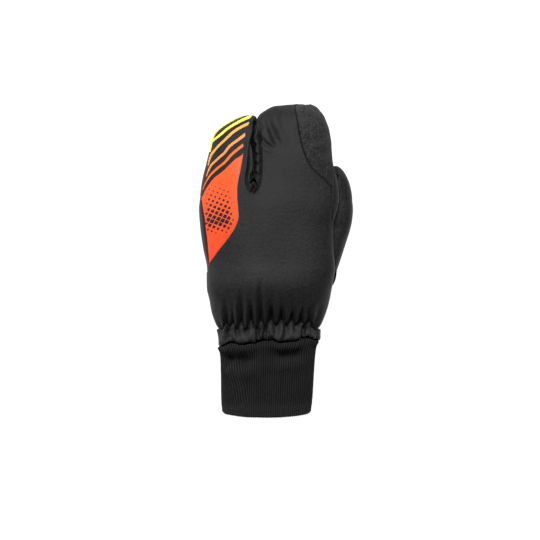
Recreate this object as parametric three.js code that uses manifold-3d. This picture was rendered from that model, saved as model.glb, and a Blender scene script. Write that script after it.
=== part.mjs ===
// A lobster claw mitt for winter cycling, left hand, lying on its palm.
// The fingers share two padded claws: ring and little finger in one, index and middle in the other.
// Millimetres. +X points to the thumb, +Y to the fingertips and +Z up, from the surface it lies on.
import * as THREE from "three";
import { mergeVertices } from "three/addons/utils/BufferGeometryUtils.js";
import Module from "manifold-3d";

const wasm = await Module();
wasm.setup();

// Driving dimensions
const HAND_LENGTH = 200; // wrist cinch to the longest fingertip
const PALM_WIDTH = 120; // across the knuckles, without the thumb
const HAND_DEPTH = 46; // palm to back of hand, padded
const CLOTH = 3.4; // softshell with its fleece and padding
const SEAM_GAP = 0.35; // between two panels that are sewn together
const CROTCH_AT = 133; // from the cinch to the end of the slit between the claws
const FORK_GAP = 0.9; // between the two claws, where they lie side by side
const WEB_LENGTH = 14; // how far the valley of the slit runs on below its end
const RIM_FLATTENING = 7; // how deep the surface below flattens the cloth
const TIP_ROUNDING = 25; // length over which a claw's end rounds off, seen from the side
const BACK_ROUNDNESS = 2.4; // power of the oval across the back: 2 is an ellipse, more is squarer
const UNDER_ROUNDNESS = 2.7; // the same of the underside
const END_ROUNDNESS = 2.2; // the same of an end, seen from the side
const THUMB_LENGTH = 112; // from where the thumb leaves the wrist's side to its tip
const THUMB_DEPTH = 24;
const THUMB_BASE_AT = 32.4; // from the cinch to where the thumb begins
const THUMB_HOLE = { wide: 19, long: 46, high: 20 }; // the way from the palm into the thumb
const HEM_LENGTH = 15.3; // the gathered cloth between the cinch and the cuff
const HEM_CLOTH = 2.2;
const PLEAT_DEPTH = 1.6;
const CUFF_LENGTH = 64.3;
const CUFF_WIDTH = 79; // at its free edge
const CUFF_DEPTH = 28;
const CUFF_KNIT = 3.2; // two layers of rib knit
const CUFF_EDGE_BOW = 4.2; // how far the free edge bows out in its middle
const WRIST_FLATTENING = 4; // how deep the surface below flattens hem and cuff
const FILM = 0.5; // the raised print
const GATHER_SWAY = 3; // how far the puffs hang over the cinch, and the hem's tips rise
const SWAY_REACH = 30; // from the cinch, over which that zigzag fades

// How the hand's plan and height change along it. y is a share of HAND_LENGTH from the cinch.
// little and index are its two edges, as shares of PALM_WIDTH from the middle line.
// back is the top's height, rim_l and rim_i the heights of the two edges, as shares of HAND_DEPTH.
const HAND_ROWS = [
  { y: 0.0, little: -0.371, index: 0.412, back: 0.66, rim_l: 0.33, rim_i: 0.33 },
  { y: 0.03, little: -0.386, index: 0.43, back: 0.74, rim_l: 0.34, rim_i: 0.34 },
  { y: 0.063, little: -0.404, index: 0.453, back: 0.82, rim_l: 0.35, rim_i: 0.36 },
  { y: 0.108, little: -0.419, index: 0.479, back: 0.9, rim_l: 0.36, rim_i: 0.4 },
  { y: 0.162, little: -0.436, index: 0.496, back: 0.955, rim_l: 0.37, rim_i: 0.48 },
  { y: 0.207, little: -0.437, index: 0.51, back: 0.985, rim_l: 0.38, rim_i: 0.55 },
  { y: 0.252, little: -0.439, index: 0.519, back: 1.0, rim_l: 0.38, rim_i: 0.61 },
  { y: 0.342, little: -0.463, index: 0.509, back: 1.0, rim_l: 0.38, rim_i: 0.64 },
  { y: 0.441, little: -0.485, index: 0.507, back: 1.0, rim_l: 0.38, rim_i: 0.64 },
  { y: 0.523, little: -0.5, index: 0.54, back: 0.99, rim_l: 0.38, rim_i: 0.64 },
  { y: 0.565, little: -0.493, index: 0.549, back: 0.975, rim_l: 0.38, rim_i: 0.64 },
  { y: 0.613, little: -0.484, index: 0.545, back: 0.95, rim_l: 0.38, rim_i: 0.64 },
  { y: 0.658, little: -0.472, index: 0.531, back: 0.925, rim_l: 0.38, rim_i: 0.63 },
  { y: 0.721, little: -0.447, index: 0.504, back: 0.89, rim_l: 0.38, rim_i: 0.58 },
  { y: 0.793, little: -0.418, index: 0.493, back: 0.85, rim_l: 0.38, rim_i: 0.48 },
  { y: 0.86, little: -0.39, index: 0.488, back: 0.81, rim_l: 0.38, rim_i: 0.42 },
  { y: 1.0, little: -0.36, index: 0.485, back: 0.76, rim_l: 0.37, rim_i: 0.38 },
];

// The line along which the two claws lie side by side.
const FORK_ROWS = [
  { y: 0.0, x: -0.071 },
  { y: 0.2, x: -0.08 },
  { y: 0.6, x: -0.095 },
  { y: 0.725, x: -0.093 },
  { y: 0.793, x: -0.091 },
  { y: 0.86, x: -0.082 },
  { y: 0.937, x: -0.066 },
  { y: 1.0, x: -0.058 },
];

// How wide the cuff is along it, from its seam to its free edge, as shares of CUFF_WIDTH.
const CUFF_ROWS = [
  { y: 0, wide: 1.15 },
  { y: 0.1, wide: 1.09 },
  { y: 0.25, wide: 1.065 },
  { y: 0.45, wide: 1.05 },
  { y: 0.8, wide: 1.03 },
  { y: 1, wide: 1 },
];

// Each claw's end: where its tip is, and how its outer and fork corners round off.
const CLAWS = {
  ring: {
    tip: { x: -0.121, y: 0.949 },
    outer: { from: 0.829, power: 1.62 },
    fork: { from: 0.91, power: 2 },
    height: 0.95,
  },
  index: {
    tip: { x: 0.298, y: 0.993 },
    outer: { from: 0.793, power: 2.15 },
    fork: { from: 0.892, power: 2.3 },
    height: 1,
  },
};

// How far the palm's cloth comes over the top at the two edges, as shares of PALM_WIDTH.
// A negative share leaves the seam on the rim.
const PALM_OVER_ROWS = [
  { y: 0.0, little: -0.03, index: -0.03 },
  { y: 0.2, little: -0.03, index: -0.03 },
  { y: 0.252, little: 0.018, index: -0.03 },
  { y: 0.342, little: 0.03, index: -0.03 },
  { y: 0.42, little: 0.034, index: -0.02 },
  { y: 0.477, little: 0.036, index: 0.028 },
  { y: 0.523, little: 0.027, index: 0.047 },
  { y: 0.565, little: 0.01, index: 0.052 },
  { y: 0.62, little: -0.03, index: 0.044 },
  { y: 0.67, little: -0.03, index: 0.016 },
  { y: 0.72, little: -0.03, index: -0.03 },
  { y: 1.05, little: -0.03, index: -0.03 },
];

// The thumb's plan. y is a share of THUMB_LENGTH, the edges are shares of PALM_WIDTH,
// depth is a share of THUMB_DEPTH and rim the height of its two edges, as a share of THUMB_DEPTH.
const THUMB_ROWS = [
  { y: 0.0, inner: 0.49, outer: 0.496, depth: 0.7, rim: 0.6 },
  { y: 0.04, inner: 0.478, outer: 0.503, depth: 0.78, rim: 0.57 },
  { y: 0.08, inner: 0.457, outer: 0.514, depth: 0.84, rim: 0.54 },
  { y: 0.16, inner: 0.427, outer: 0.54, depth: 0.91, rim: 0.5 },
  { y: 0.24, inner: 0.409, outer: 0.561, depth: 0.96, rim: 0.47 },
  { y: 0.4, inner: 0.393, outer: 0.606, depth: 1.0, rim: 0.45 },
  { y: 0.483, inner: 0.39, outer: 0.63, depth: 1.0, rim: 0.45 },
  { y: 0.563, inner: 0.39, outer: 0.645, depth: 1.0, rim: 0.45 },
  { y: 0.644, inner: 0.392, outer: 0.652, depth: 0.99, rim: 0.45 },
  { y: 0.724, inner: 0.397, outer: 0.648, depth: 0.97, rim: 0.45 },
  { y: 1.0, inner: 0.4, outer: 0.64, depth: 0.9, rim: 0.45 },
];
const THUMB_TIP = {
  x: 0.53,
  outer: { from: 0.724, power: 1.75 },
  inner: { from: 0.7, power: 2 },
  rounding: 0.2,
};

// The hollow below the palm's thumb side, in which the thumb lies. y is a share of HAND_LENGTH.
// height is a share of HAND_DEPTH, start where it leaves the surface below, of PALM_WIDTH.
const COVE_ROWS = [
  { y: 0.0, height: 0, start: 0.46 },
  { y: 0.15, height: 0, start: 0.45 },
  { y: 0.2, height: 0.2, start: 0.42 },
  { y: 0.25, height: 0.44, start: 0.395 },
  { y: 0.29, height: 0.5, start: 0.385 },
  { y: 0.7, height: 0.5, start: 0.385 },
  { y: 0.75, height: 0.4, start: 0.41 },
  { y: 0.8, height: 0, start: 0.43 },
  { y: 1.0, height: 0, start: 0.45 },
];
const COVE_WIDTH = 0.1; // share of PALM_WIDTH over which it rises

// Creases that the cinch draws into the back of the hand. Between two of them the cloth puffs out.
// x is where each meets the cinch, a share of PALM_WIDTH; length is a share of HAND_LENGTH.
const CREASE_ROWS = [
  { x: -0.29, length: 0.1, depth: 1.3 },
  { x: -0.237, length: 0.16, depth: 1.7 },
  { x: -0.174, length: 0.18, depth: 1.9 },
  { x: -0.106, length: 0.13, depth: 1.6 },
  { x: -0.036, length: 0.24, depth: 2.2 },
  { x: 0.043, length: 0.13, depth: 1.6 },
  { x: 0.122, length: 0.14, depth: 1.8 },
  { x: 0.197, length: 0.12, depth: 1.6 },
  { x: 0.272, length: 0.15, depth: 1.8 },
  { x: 0.328, length: 0.14, depth: 1.5 },
];
const CREASE_REACH = 55; // from the cinch, over which the gather makes the cloth thicker
const GATHER_THICKNESS = 1.6;
const FORK_PUFF = 4; // the slit's line meets the cinch on the puff before this crease

// The slit's gusset: its seam, round both sides of the fork. x, y are shares as above.
const GUSSET_OUTLINE = [
  { x: -0.058, y: 1.02 },
  { x: -0.075, y: 0.93 },
  { x: -0.105, y: 0.84 },
  { x: -0.128, y: 0.74 },
  { x: -0.138, y: 0.66 },
  { x: -0.125, y: 0.618 },
  { x: -0.092, y: 0.597 },
  { x: -0.058, y: 0.614 },
  { x: -0.043, y: 0.65 },
  { x: -0.036, y: 0.73 },
  { x: -0.038, y: 0.82 },
  { x: -0.028, y: 0.87 },
  { x: -0.04, y: 0.93 },
  { x: -0.05, y: 1.02 },
];

// The brushed suede on the index finger: its seam with the back panel, from the tip to the rim.
const SUEDE_EDGE = [
  { x: 0.222, y: 1.04 },
  { x: 0.228, y: 0.97 },
  { x: 0.249, y: 0.892 },
  { x: 0.268, y: 0.824 },
  { x: 0.302, y: 0.757 },
  { x: 0.343, y: 0.707 },
  { x: 0.395, y: 0.676 },
  { x: 0.448, y: 0.649 },
  { x: 0.503, y: 0.613 },
  { x: 0.58, y: 0.59 },
  { x: 0.7, y: 0.8 },
  { x: 0.6, y: 1.04 },
];

// The print: a kite-shaped field on the little finger's side, and the bands above it.
const FIELD_OUTLINE = [
  { x: -0.162, y: 0.775 },
  { x: -0.19, y: 0.65 },
  { x: -0.201, y: 0.55 },
  { x: -0.2, y: 0.475 },
  { x: -0.26, y: 0.4 },
  { x: -0.39, y: 0.297 },
  { x: -0.421, y: 0.262 },
  { x: -0.6, y: 0.35 },
  { x: -0.6, y: 0.5 },
  { x: -0.466, y: 0.608 },
  { x: -0.39, y: 0.667 },
  { x: -0.29, y: 0.708 },
  { x: -0.22, y: 0.752 },
];
// Each band runs from its right end down to the rim. Its ends follow the slit and the rim.
const BAND_ROWS = [
  { x: -0.157, y: 0.822, drop: 0.2 },
  { x: -0.142, y: 0.867, drop: 0.19 },
  { x: -0.117, y: 0.912, drop: 0.17 },
  { x: -0.1, y: 0.947, drop: 0.135 },
];
const BAND_WIDTH = 2.6;

const lerp = (a, b, t) => a + (b - a) * t;
const clamp01 = (t) => Math.min(1, Math.max(0, t));
const smooth = (t) => clamp01(t) ** 2 * (3 - 2 * clamp01(t));

// A curve through a table's rows that doesn't overshoot: cubic pieces with harmonic mean slopes.
function curve(rows, key) {
  const slopeOf = (i) => {
    if (i === 0 || i === rows.length - 1) return 0;
    const before = (rows[i][key] - rows[i - 1][key]) / (rows[i].y - rows[i - 1].y);
    const after = (rows[i + 1][key] - rows[i][key]) / (rows[i + 1].y - rows[i].y);
    return before * after > 0 ? (2 * before * after) / (before + after) : 0;
  };
  const slopes = rows.map((_, i) => slopeOf(i));
  return (y) => {
    if (y <= rows[0].y) return rows[0][key];
    const last = rows.length - 1;
    if (y >= rows[last].y) return rows[last][key];
    const i = rows.findIndex((row) => row.y > y) - 1;
    const step = rows[i + 1].y - rows[i].y;
    const t = (y - rows[i].y) / step;
    const bend = t * t * (3 - 2 * t);
    return (
      lerp(rows[i][key], rows[i + 1][key], bend) +
      step * t * (1 - t) * ((1 - t) * slopes[i] - t * slopes[i + 1])
    );
  };
}

// How wide a rounded end still is at share t of its length, from 1 to 0.
const cap = (t, power) => (1 - clamp01(t) ** power) ** (1 / power);

const hand = {
  little: curve(HAND_ROWS, "little"),
  index: curve(HAND_ROWS, "index"),
  back: curve(HAND_ROWS, "back"),
  rimLittle: curve(HAND_ROWS, "rim_l"),
  rimIndex: curve(HAND_ROWS, "rim_i"),
  fork: curve(FORK_ROWS, "x"),
  coveHeight: curve(COVE_ROWS, "height"),
  coveStart: curve(COVE_ROWS, "start"),
};
const thumb = {
  inner: curve(THUMB_ROWS, "inner"),
  outer: curve(THUMB_ROWS, "outer"),
  depth: curve(THUMB_ROWS, "depth"),
  rim: curve(THUMB_ROWS, "rim"),
};

// The places where the gathered cloth turns at the cinch, from rim to rim: its creases and puffs.
const gatherTurns = (() => {
  const at = CREASE_ROWS.map((row) => row.x * PALM_WIDTH);
  const [first, last] = [hand.little(0) * PALM_WIDTH, hand.index(0) * PALM_WIDTH];
  const turns = [
    { x: first, sway: 0, depth: 0, length: 1 },
    { x: lerp(first, at[0], 0.4), sway: -0.4, depth: 0, length: 1 },
  ];
  CREASE_ROWS.forEach((row, i) => {
    turns.push({ x: at[i], sway: 1, depth: row.depth, length: row.length * HAND_LENGTH });
    if (i < at.length - 1) turns.push({ x: (at[i] + at[i + 1]) / 2, sway: -1, depth: 0, length: 1 });
  });
  turns.push({ x: lerp(last, at.at(-1), 0.4), sway: -0.4, depth: 0, length: 1 });
  turns.push({ x: last, sway: 0, depth: 0, length: 1 });
  return turns;
})();
const forkTurn = 1 + 2 * FORK_PUFF;

// How far the cloth at x hangs over the cinch or draws back from it, straight from turn to turn.
function cinchSway(x) {
  const i = gatherTurns.findIndex((turn) => turn.x > x);
  if (i <= 0) return 0;
  const [from, to] = [gatherTurns[i - 1], gatherTurns[i]];
  return GATHER_SWAY * lerp(from.sway, to.sway, (x - from.x) / (to.x - from.x));
}

// The height of the rim's plane at x, y: it slants up to the thumb's side.
function rimHeight(x, y) {
  const s = y / HAND_LENGTH;
  const little = hand.little(s) * PALM_WIDTH;
  const index = hand.index(s) * PALM_WIDTH;
  const across = clamp01((x - little) / (index - little));
  return lerp(hand.rimLittle(s), hand.rimIndex(s), across) * HAND_DEPTH;
}

// A claw's two edges at y, drawn in by inset. side is "outer" or "fork".
function clawEdge(claw, side, y, inset) {
  const { tip, [side]: corner } = CLAWS[claw];
  const inwards = (claw === "ring") === (side === "outer") ? 1 : -1;
  const s = Math.min(y / HAND_LENGTH, corner.from);
  const outer = claw === "ring" ? hand.little(s) : hand.index(s);
  const straight =
    side === "outer"
      ? outer * PALM_WIDTH + inwards * inset
      : hand.fork(s) * PALM_WIDTH + inwards * (FORK_GAP / 2 + Math.max(0, inset));
  const tipY = tip.y * HAND_LENGTH - inset;
  const from = corner.from * HAND_LENGTH;
  const tipX = tip.x * PALM_WIDTH;
  const share = cap((y - from) / (tipY - from), corner.power);
  return lerp(tipX, straight, share);
}

// The hand's top or bottom at x, y, drawn in by inset. claw says which claw x belongs to.
function handHeight(top, claw, x, y, inset) {
  const s = y / HAND_LENGTH;
  const crotch = CROTCH_AT - inset;
  const webShare = clamp01((y - (crotch - WEB_LENGTH)) / WEB_LENGTH);
  const split = y >= crotch ? 1 : 1 - Math.sqrt(1 - webShare ** 2);
  const middle = hand.fork(s) * PALM_WIDTH;
  const edges =
    y >= crotch
      ? { outer: clawEdge(claw, "outer", y, inset), fork: clawEdge(claw, "fork", y, inset) }
      : { outer: clawEdge(claw, "outer", y, inset), fork: middle };
  const power = top ? BACK_ROUNDNESS : UNDER_ROUNDNESS;
  const across = (a, b) => cap(Math.abs((2 * x - a - b) / (b - a)), power);
  const whole = y >= crotch ? 0 : across(clawEdge("ring", "outer", y, inset), clawEdge("index", "outer", y, inset));
  const round = lerp(whole, across(edges.outer, edges.fork), split);
  const rim = rimHeight(x, y);
  const tipY = CLAWS[claw].tip.y * HAND_LENGTH - inset;
  const side = cap((y - (tipY - TIP_ROUNDING)) / TIP_ROUNDING, END_ROUNDNESS);
  if (top) {
    const fromFork = smooth(Math.abs(x - middle) / (2 * WEB_LENGTH));
    const clawShare = smooth((y - crotch + 2 * WEB_LENGTH) / (3 * WEB_LENGTH));
    const flatter = lerp(1, CLAWS[claw].height, clawShare * fromFork);
    const gathered = inset > 0 ? GATHER_THICKNESS * (1 - smooth(y / CREASE_REACH)) : 0;
    const back = hand.back(s) * HAND_DEPTH * flatter - inset - gathered;
    return rim + (back - rim) * round * side;
  }
  const cove = hand.coveHeight(s) * HAND_DEPTH + inset;
  const rise = smooth((x / PALM_WIDTH - hand.coveStart(s) + (inset / PALM_WIDTH)) / COVE_WIDTH);
  const under = rim - (rim + RIM_FLATTENING) * round * side;
  return Math.min(rim, Math.max(inset, under, cove * rise));
}

// A closed solid from its triangles, each three points in order round an outward face.
function solidFrom(points) {
  const flat = new Float32Array(points.flatMap((p) => p));
  const loose = new THREE.BufferGeometry().setAttribute("position", new THREE.BufferAttribute(flat, 3));
  return solidOf(loose);
}

// A manifold-3d solid of a geometry whose faces close.
function solidOf(geometry) {
  const bare = geometry.index ? geometry.toNonIndexed() : geometry.clone();
  bare.deleteAttribute("normal");
  bare.deleteAttribute("uv");
  const merged = mergeVertices(bare, 1e-3);
  const corners = Array.from(merged.index.array);
  const kept = [];
  for (let i = 0; i < corners.length; i += 3) {
    const [a, b, c] = corners.slice(i, i + 3);
    if (a !== b && b !== c && c !== a) kept.push(a, b, c);
  }
  const mesh = new wasm.Mesh({
    numProp: 3,
    vertProperties: merged.attributes.position.array,
    triVerts: new Uint32Array(kept),
  });
  return new wasm.Manifold(mesh);
}

// The triangles of a grid of points, which faces the side where its columns turn into its rows
// anticlockwise.
function gridFaces(columns, rows, point, flip = false) {
  const faces = [];
  const grid = Array.from({ length: rows + 1 }, (_, j) =>
    Array.from({ length: columns + 1 }, (_, i) => point(i / columns, j / rows)),
  );
  for (let j = 0; j < rows; j++) {
    for (let i = 0; i < columns; i++) {
      const quad = [grid[j][i], grid[j][i + 1], grid[j + 1][i + 1], grid[j + 1][i]];
      const [a, b, c, d] = flip ? quad.toReversed() : quad;
      faces.push(a, b, c, a, c, d);
    }
  }
  return faces;
}

// One claw with its share of the palm: a top and a bottom sheet that meet on the rim,
// closed at the wrist end. Its rows lie closer together near the cinch, the slit's end and the tip.
// A gathered half has a column on each turn of the cinch.
function handHalf(claw, inset, { columns, palmRows, clawRows, gathered }, start) {
  const rows = palmRows + clawRows;
  const crotch = CROTCH_AT - inset;
  const tipY = CLAWS[claw].tip.y * HAND_LENGTH - inset;
  const turns = claw === "ring" ? gatherTurns.slice(0, forkTurn + 1) : gatherTurns.slice(forkTurn);
  const across = gathered ? turns.length - 1 : columns;
  const rowY = (v) => {
    const j = v * rows;
    if (j <= palmRows) return lerp(start, crotch, lerp(j / palmRows, smooth(j / palmRows), 0.6));
    return lerp(crotch, tipY, 1 - (1 - (j - palmRows) / clawRows) ** 2);
  };
  const shareOf = (i, y) => {
    const u = i / across;
    const even = lerp(u, (1 - Math.cos(Math.PI * u)) / 2, 0.65);
    if (!gathered) return even;
    const atCinch = (turns[i].x - turns[0].x) / (turns.at(-1).x - turns[0].x);
    return lerp(atCinch, even, smooth(y / (0.4 * HAND_LENGTH)));
  };
  const pointOn = (top) => (u, v) => {
    const i = Math.round(u * across);
    const y = rowY(v);
    const share = shareOf(i, y);
    const onOuter = i === (claw === "ring" ? 0 : across);
    const onFork = i === (claw === "ring" ? across : 0);
    const forked = y > crotch - 1e-6;
    const joined = !forked || (onFork && y < crotch + 1e-6);
    const middle = hand.fork(y / HAND_LENGTH) * PALM_WIDTH;
    const fork = joined ? middle : clawEdge(claw, "fork", y, inset);
    const outer = clawEdge(claw, "outer", y, inset);
    const x = claw === "ring" ? lerp(outer, fork, share) : lerp(fork, outer, share);
    if (v === 1 || onOuter || (onFork && forked)) return [x, y, rimHeight(x, y)];
    const z = handHeight(top, claw, x, y, inset);
    if (!gathered || !top) return [x, y, z];
    const turn = turns[i];
    const sway = GATHER_SWAY * turn.sway * (1 - smooth(y / SWAY_REACH));
    return [x, y + sway, z - turn.depth * (1 - clamp01(y / turn.length))];
  };
  const top = pointOn(true);
  const bottom = pointOn(false);
  const wrist = (u, v) => {
    const [high, low] = [top(u, 0), bottom(u, 0)];
    const rim = rimHeight(low[0], low[1]);
    return [low, [low[0], low[1], rim], [high[0], high[1], rim], high][Math.round(3 * v)];
  };
  return [
    ...gridFaces(across, rows, top),
    ...gridFaces(across, rows, bottom, true),
    ...gridFaces(across, 3, wrist),
  ];
}

// The whole hand without the thumb, drawn in by inset.
function handSolid(inset, detail, start = 0) {
  return solidFrom([...handHalf("ring", inset, detail, start), ...handHalf("index", inset, detail, start)]);
}

// The thumb's pouch, drawn in by inset, before the hand that lies on it presses it.
function thumbSolid(inset, columns, rows) {
  const length = THUMB_LENGTH - 2 * inset;
  const pointOn = (top) => (u, v) => {
    const share = v * v * (3 - 2 * v);
    const y = share * length + inset;
    const s = y / THUMB_LENGTH;
    const edge = (side, inwards) => {
      const corner = THUMB_TIP[side];
      const straight = thumb[side](Math.min(s, corner.from)) * PALM_WIDTH + inwards * inset;
      const t = (y / THUMB_LENGTH - corner.from) / ((THUMB_LENGTH - inset) / THUMB_LENGTH - corner.from);
      return lerp(THUMB_TIP.x * PALM_WIDTH, straight, cap(t, corner.power));
    };
    const inner = edge("inner", 1);
    const outer = edge("outer", -1);
    const across = lerp(u, (1 - Math.cos(Math.PI * u)) / 2, 0.8);
    const x = v === 0 ? (inner + outer) / 2 : lerp(inner, outer, across);
    const round = cap(Math.abs(2 * across - 1), 2.3);
    const tipStart = THUMB_LENGTH * (1 - THUMB_TIP.rounding);
    const tipShare = cap((y - tipStart) / (THUMB_LENGTH - inset - tipStart), END_ROUNDNESS);
    const rim = thumb.rim(s) * THUMB_DEPTH;
    const height = top
      ? rim + (thumb.depth(s) * THUMB_DEPTH - inset - rim) * round * tipShare
      : Math.max(inset, rim - (rim + RIM_FLATTENING) * round * tipShare);
    const pole = v === 0 || v === 1 || u === 0 || u === 1;
    return [x, y + THUMB_BASE_AT, pole ? rim : height];
  };
  return solidFrom([
    ...gridFaces(columns, rows, pointOn(true)),
    ...gridFaces(columns, rows, pointOn(false), true),
  ]);
}

// What lies above the rim between the two side seams, grown by grow: the region of the back.
function backRegion(grow) {
  const over = { little: curve(PALM_OVER_ROWS, "little"), index: curve(PALM_OVER_ROWS, "index") };
  const high = 2 * HAND_DEPTH;
  const beyond = 8;
  const rows = 44;
  const pointOn = (top) => (u, v) => {
    const y = lerp(-beyond, HAND_LENGTH + beyond, v);
    const s = y / HAND_LENGTH;
    const from = (hand.little(s) + over.little(s)) * PALM_WIDTH - grow;
    const to = (hand.index(s) - over.index(s)) * PALM_WIDTH + grow;
    const x = lerp(from, to, u);
    return [x, y, top ? high : rimHeight(x, y) - grow];
  };
  const columns = 6;
  const side = (u) => (w, v) => pointOn(w > 0.5)(u, v);
  const end = (v) => (u, w) => pointOn(w > 0.5)(u, v);
  return solidFrom([
    ...gridFaces(columns, rows, pointOn(true)),
    ...gridFaces(columns, rows, pointOn(false), true),
    ...gridFaces(1, rows, side(0)),
    ...gridFaces(1, rows, side(1), true),
    ...gridFaces(columns, 1, end(0)),
    ...gridFaces(columns, 1, end(1), true),
  ]);
}

// An upright prism on an outline given in shares, moved out by grow.
function prism(outline, grow = 0, pointsPerEdge = 1) {
  const points = outline.map((p) => new THREE.Vector2(p.x * PALM_WIDTH, p.y * HAND_LENGTH));
  const path =
    pointsPerEdge > 1 ? new THREE.SplineCurve([...points, points[0]]).getPoints(points.length * pointsPerEdge) : points;
  if (path.at(-1).distanceTo(path[0]) < 1e-6) path.pop();
  const turn = THREE.ShapeUtils.isClockWise(path) ? -1 : 1;
  const grown = path.map((p, i) => {
    const before = path.at(i - 1);
    const after = path[(i + 1) % path.length];
    const along = after.clone().sub(before).normalize();
    return new THREE.Vector2(p.x + along.y * grow * turn, p.y - along.x * grow * turn);
  });
  const geometry = new THREE.ExtrudeGeometry(new THREE.Shape(grown), {
    depth: 4 * HAND_DEPTH,
    bevelEnabled: false,
  });
  geometry.translate(0, 0, -HAND_DEPTH);
  return solidOf(geometry);
}

// A band of the print: a wave that runs down to the left from its right end.
function bandOutline({ x, y, drop }) {
  const steps = 10;
  const left = -0.56;
  const half = BAND_WIDTH / 2 / HAND_LENGTH;
  const middle = Array.from({ length: steps + 1 }, (_, i) => {
    const t = i / steps;
    const wave = 0.008 * Math.sin(2 * Math.PI * 1.25 * t);
    return { x: lerp(x, left, t), y: y - drop * 1.15 * t + wave };
  });
  const lifted = (p, by) => ({ x: p.x, y: p.y + by });
  return [
    ...middle.map((p) => lifted(p, half)),
    ...middle.toReversed().map((p) => lifted(p, -half)),
  ];
}

const cinch = {
  middle: ((hand.little(0) + hand.index(0)) / 2) * PALM_WIDTH,
  half: ((hand.index(0) - hand.little(0)) / 2) * PALM_WIDTH,
  height: hand.back(0) * HAND_DEPTH,
  rim: hand.rimLittle(0) / hand.back(0),
};

// A closed loop round the wrist at share v of a piece's length. Its places are named by where they
// lie across the wrist, from -1 to 1, and whether they lie above the rim.
function wristStops(turns, below) {
  const above = turns.map((x) => ({ across: (x - cinch.middle) / cinch.half, above: true }));
  const under = Array.from({ length: below - 1 }, (_, i) => {
    const across = Math.sin(Math.PI * ((i + 1) / below - 0.5)) * 0.5 + (i + 1) / below - 0.5;
    return { across, above: false };
  });
  return [...above.toReversed(), ...under];
}

// The point of a flattened oval: flat where it lies, round above.
function wristPoint({ across, above }, middle, half, height, inset) {
  const reach = half - inset;
  const x = Math.max(-reach, Math.min(reach, across * half));
  const power = above ? BACK_ROUNDNESS : UNDER_ROUNDNESS;
  const round = cap(Math.abs(x) / reach, power);
  const rim = height * cinch.rim;
  const under = rim - (rim + WRIST_FLATTENING) * round;
  const z = above ? rim + (height - inset - rim) * round : Math.max(inset, under);
  return [middle + x, z];
}

// A ring round the wrist with a wall, from a function that gives its point at a stop, share, inset.
function wristRing(stops, point, wall, along) {
  const stop = (u) => stops[Math.round(u * stops.length) % stops.length];
  const outside = (u, v) => point(stop(u), v, 0);
  const inside = (u, v) => point(stop(u), v, wall);
  const rim = (v) => (u, w) => (w < 0.5 ? inside(u, v) : outside(u, v));
  return solidFrom([
    ...gridFaces(stops.length, along, outside),
    ...gridFaces(stops.length, along, inside, true),
    ...gridFaces(stops.length, 1, rim(0)),
    ...gridFaces(stops.length, 1, rim(1), true),
  ]);
}

// The line where hem and cuff meet rises a little to the thumb's side.
const hemEdge = (across) => -HEM_LENGTH - 1.2 + 2.6 * smooth(across + 0.2);

// The gathered hem below the cinch: pleats that bulge between its two seams.
function gatheredHem() {
  const turnAt = (across) => {
    const x = cinch.middle + across * cinch.half;
    return gatherTurns.find((turn) => Math.abs(turn.x - x) < 1e-6) ?? gatherTurns[0];
  };
  const point = (stop, v, inset) => {
    const bulge = Math.sin(Math.PI * v);
    const turn = turnAt(stop.across);
    const pleat = stop.above ? (PLEAT_DEPTH * (0.3 + 0.7 * bulge) * (turn.sway - 1)) / 2 : 0;
    const height = cinch.height + 1.6 * bulge - 1.4 * v - 0.8;
    const half = cinch.half - 1.8 * v - 0.4 * bulge;
    const [x, z] = wristPoint(stop, cinch.middle, half, height, inset);
    const fade = stop.above ? smooth((1 - Math.abs(stop.across)) * 8) : 0;
    const sway = stop.above ? cinchSway(x) * (1 - v) : 0;
    return [x, lerp(-1.4 * SEAM_GAP + sway, hemEdge(stop.across), v), z + pleat * fade];
  };
  return wristRing(wristStops(gatherTurns.map((turn) => turn.x), 12), point, HEM_CLOTH, 3);
}

// The rib knit cuff: a double tube, folded at its free edge and narrower there.
function knitCuff() {
  const wide = curve(CUFF_ROWS, "wide");
  const point = (stop, v, inset) => {
    const half = (wide(v) * CUFF_WIDTH) / 2;
    const height = lerp(cinch.height - 2.4, CUFF_DEPTH, v);
    const middle = cinch.middle - 1.6 * v;
    const fold = v > 0.99 ? 0.6 : 0;
    const [x, z] = wristPoint(stop, middle, half - fold, height - fold, Math.max(0, inset - 2 * fold));
    const bow = CUFF_EDGE_BOW * cap(Math.abs(stop.across), 2) * (stop.above ? 1 : 0.5);
    const edge = hemEdge(stop.across) - SEAM_GAP;
    return [x, lerp(edge, -HEM_LENGTH - CUFF_LENGTH - bow, v), z];
  };
  const turns = Array.from({ length: 21 }, (_, i) => {
    const t = i / 20 - 0.5;
    return cinch.middle + cinch.half * (t + Math.sin(Math.PI * t) / 2);
  });
  return wristRing(wristStops(turns, 14), point, CUFF_KNIT, 5);
}

function ellipsoid({ wide, long, high }, x, y, z) {
  const ball = new THREE.SphereGeometry(0.5, 16, 12);
  ball.scale(wide, long, high);
  ball.translate(x, y, z);
  return solidOf(ball);
}

// The panels are cut from one hollow hand, so that their edges follow each other.
const OUTSIDE = { gathered: true, palmRows: 13, clawRows: 9 };
const INSIDE = { columns: 8, palmRows: 7, clawRows: 7 };

const outside = handSolid(0, OUTSIDE);
const cavity = handSolid(CLOTH, INSIDE, -2 * CLOTH);
const thumbHole = ellipsoid(THUMB_HOLE, 0.458 * PALM_WIDTH, 0.33 * HAND_LENGTH, 0.31 * HAND_DEPTH);
const wall = outside.subtract(cavity);

const gussetRegion = prism(GUSSET_OUTLINE);
const gussetClear = prism(GUSSET_OUTLINE, SEAM_GAP);
const suedeRegion = prism(SUEDE_EDGE);
const suedeClear = prism(SUEDE_EDGE, SEAM_GAP);
const back = backRegion(0);
const backClear = backRegion(SEAM_GAP);

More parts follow.
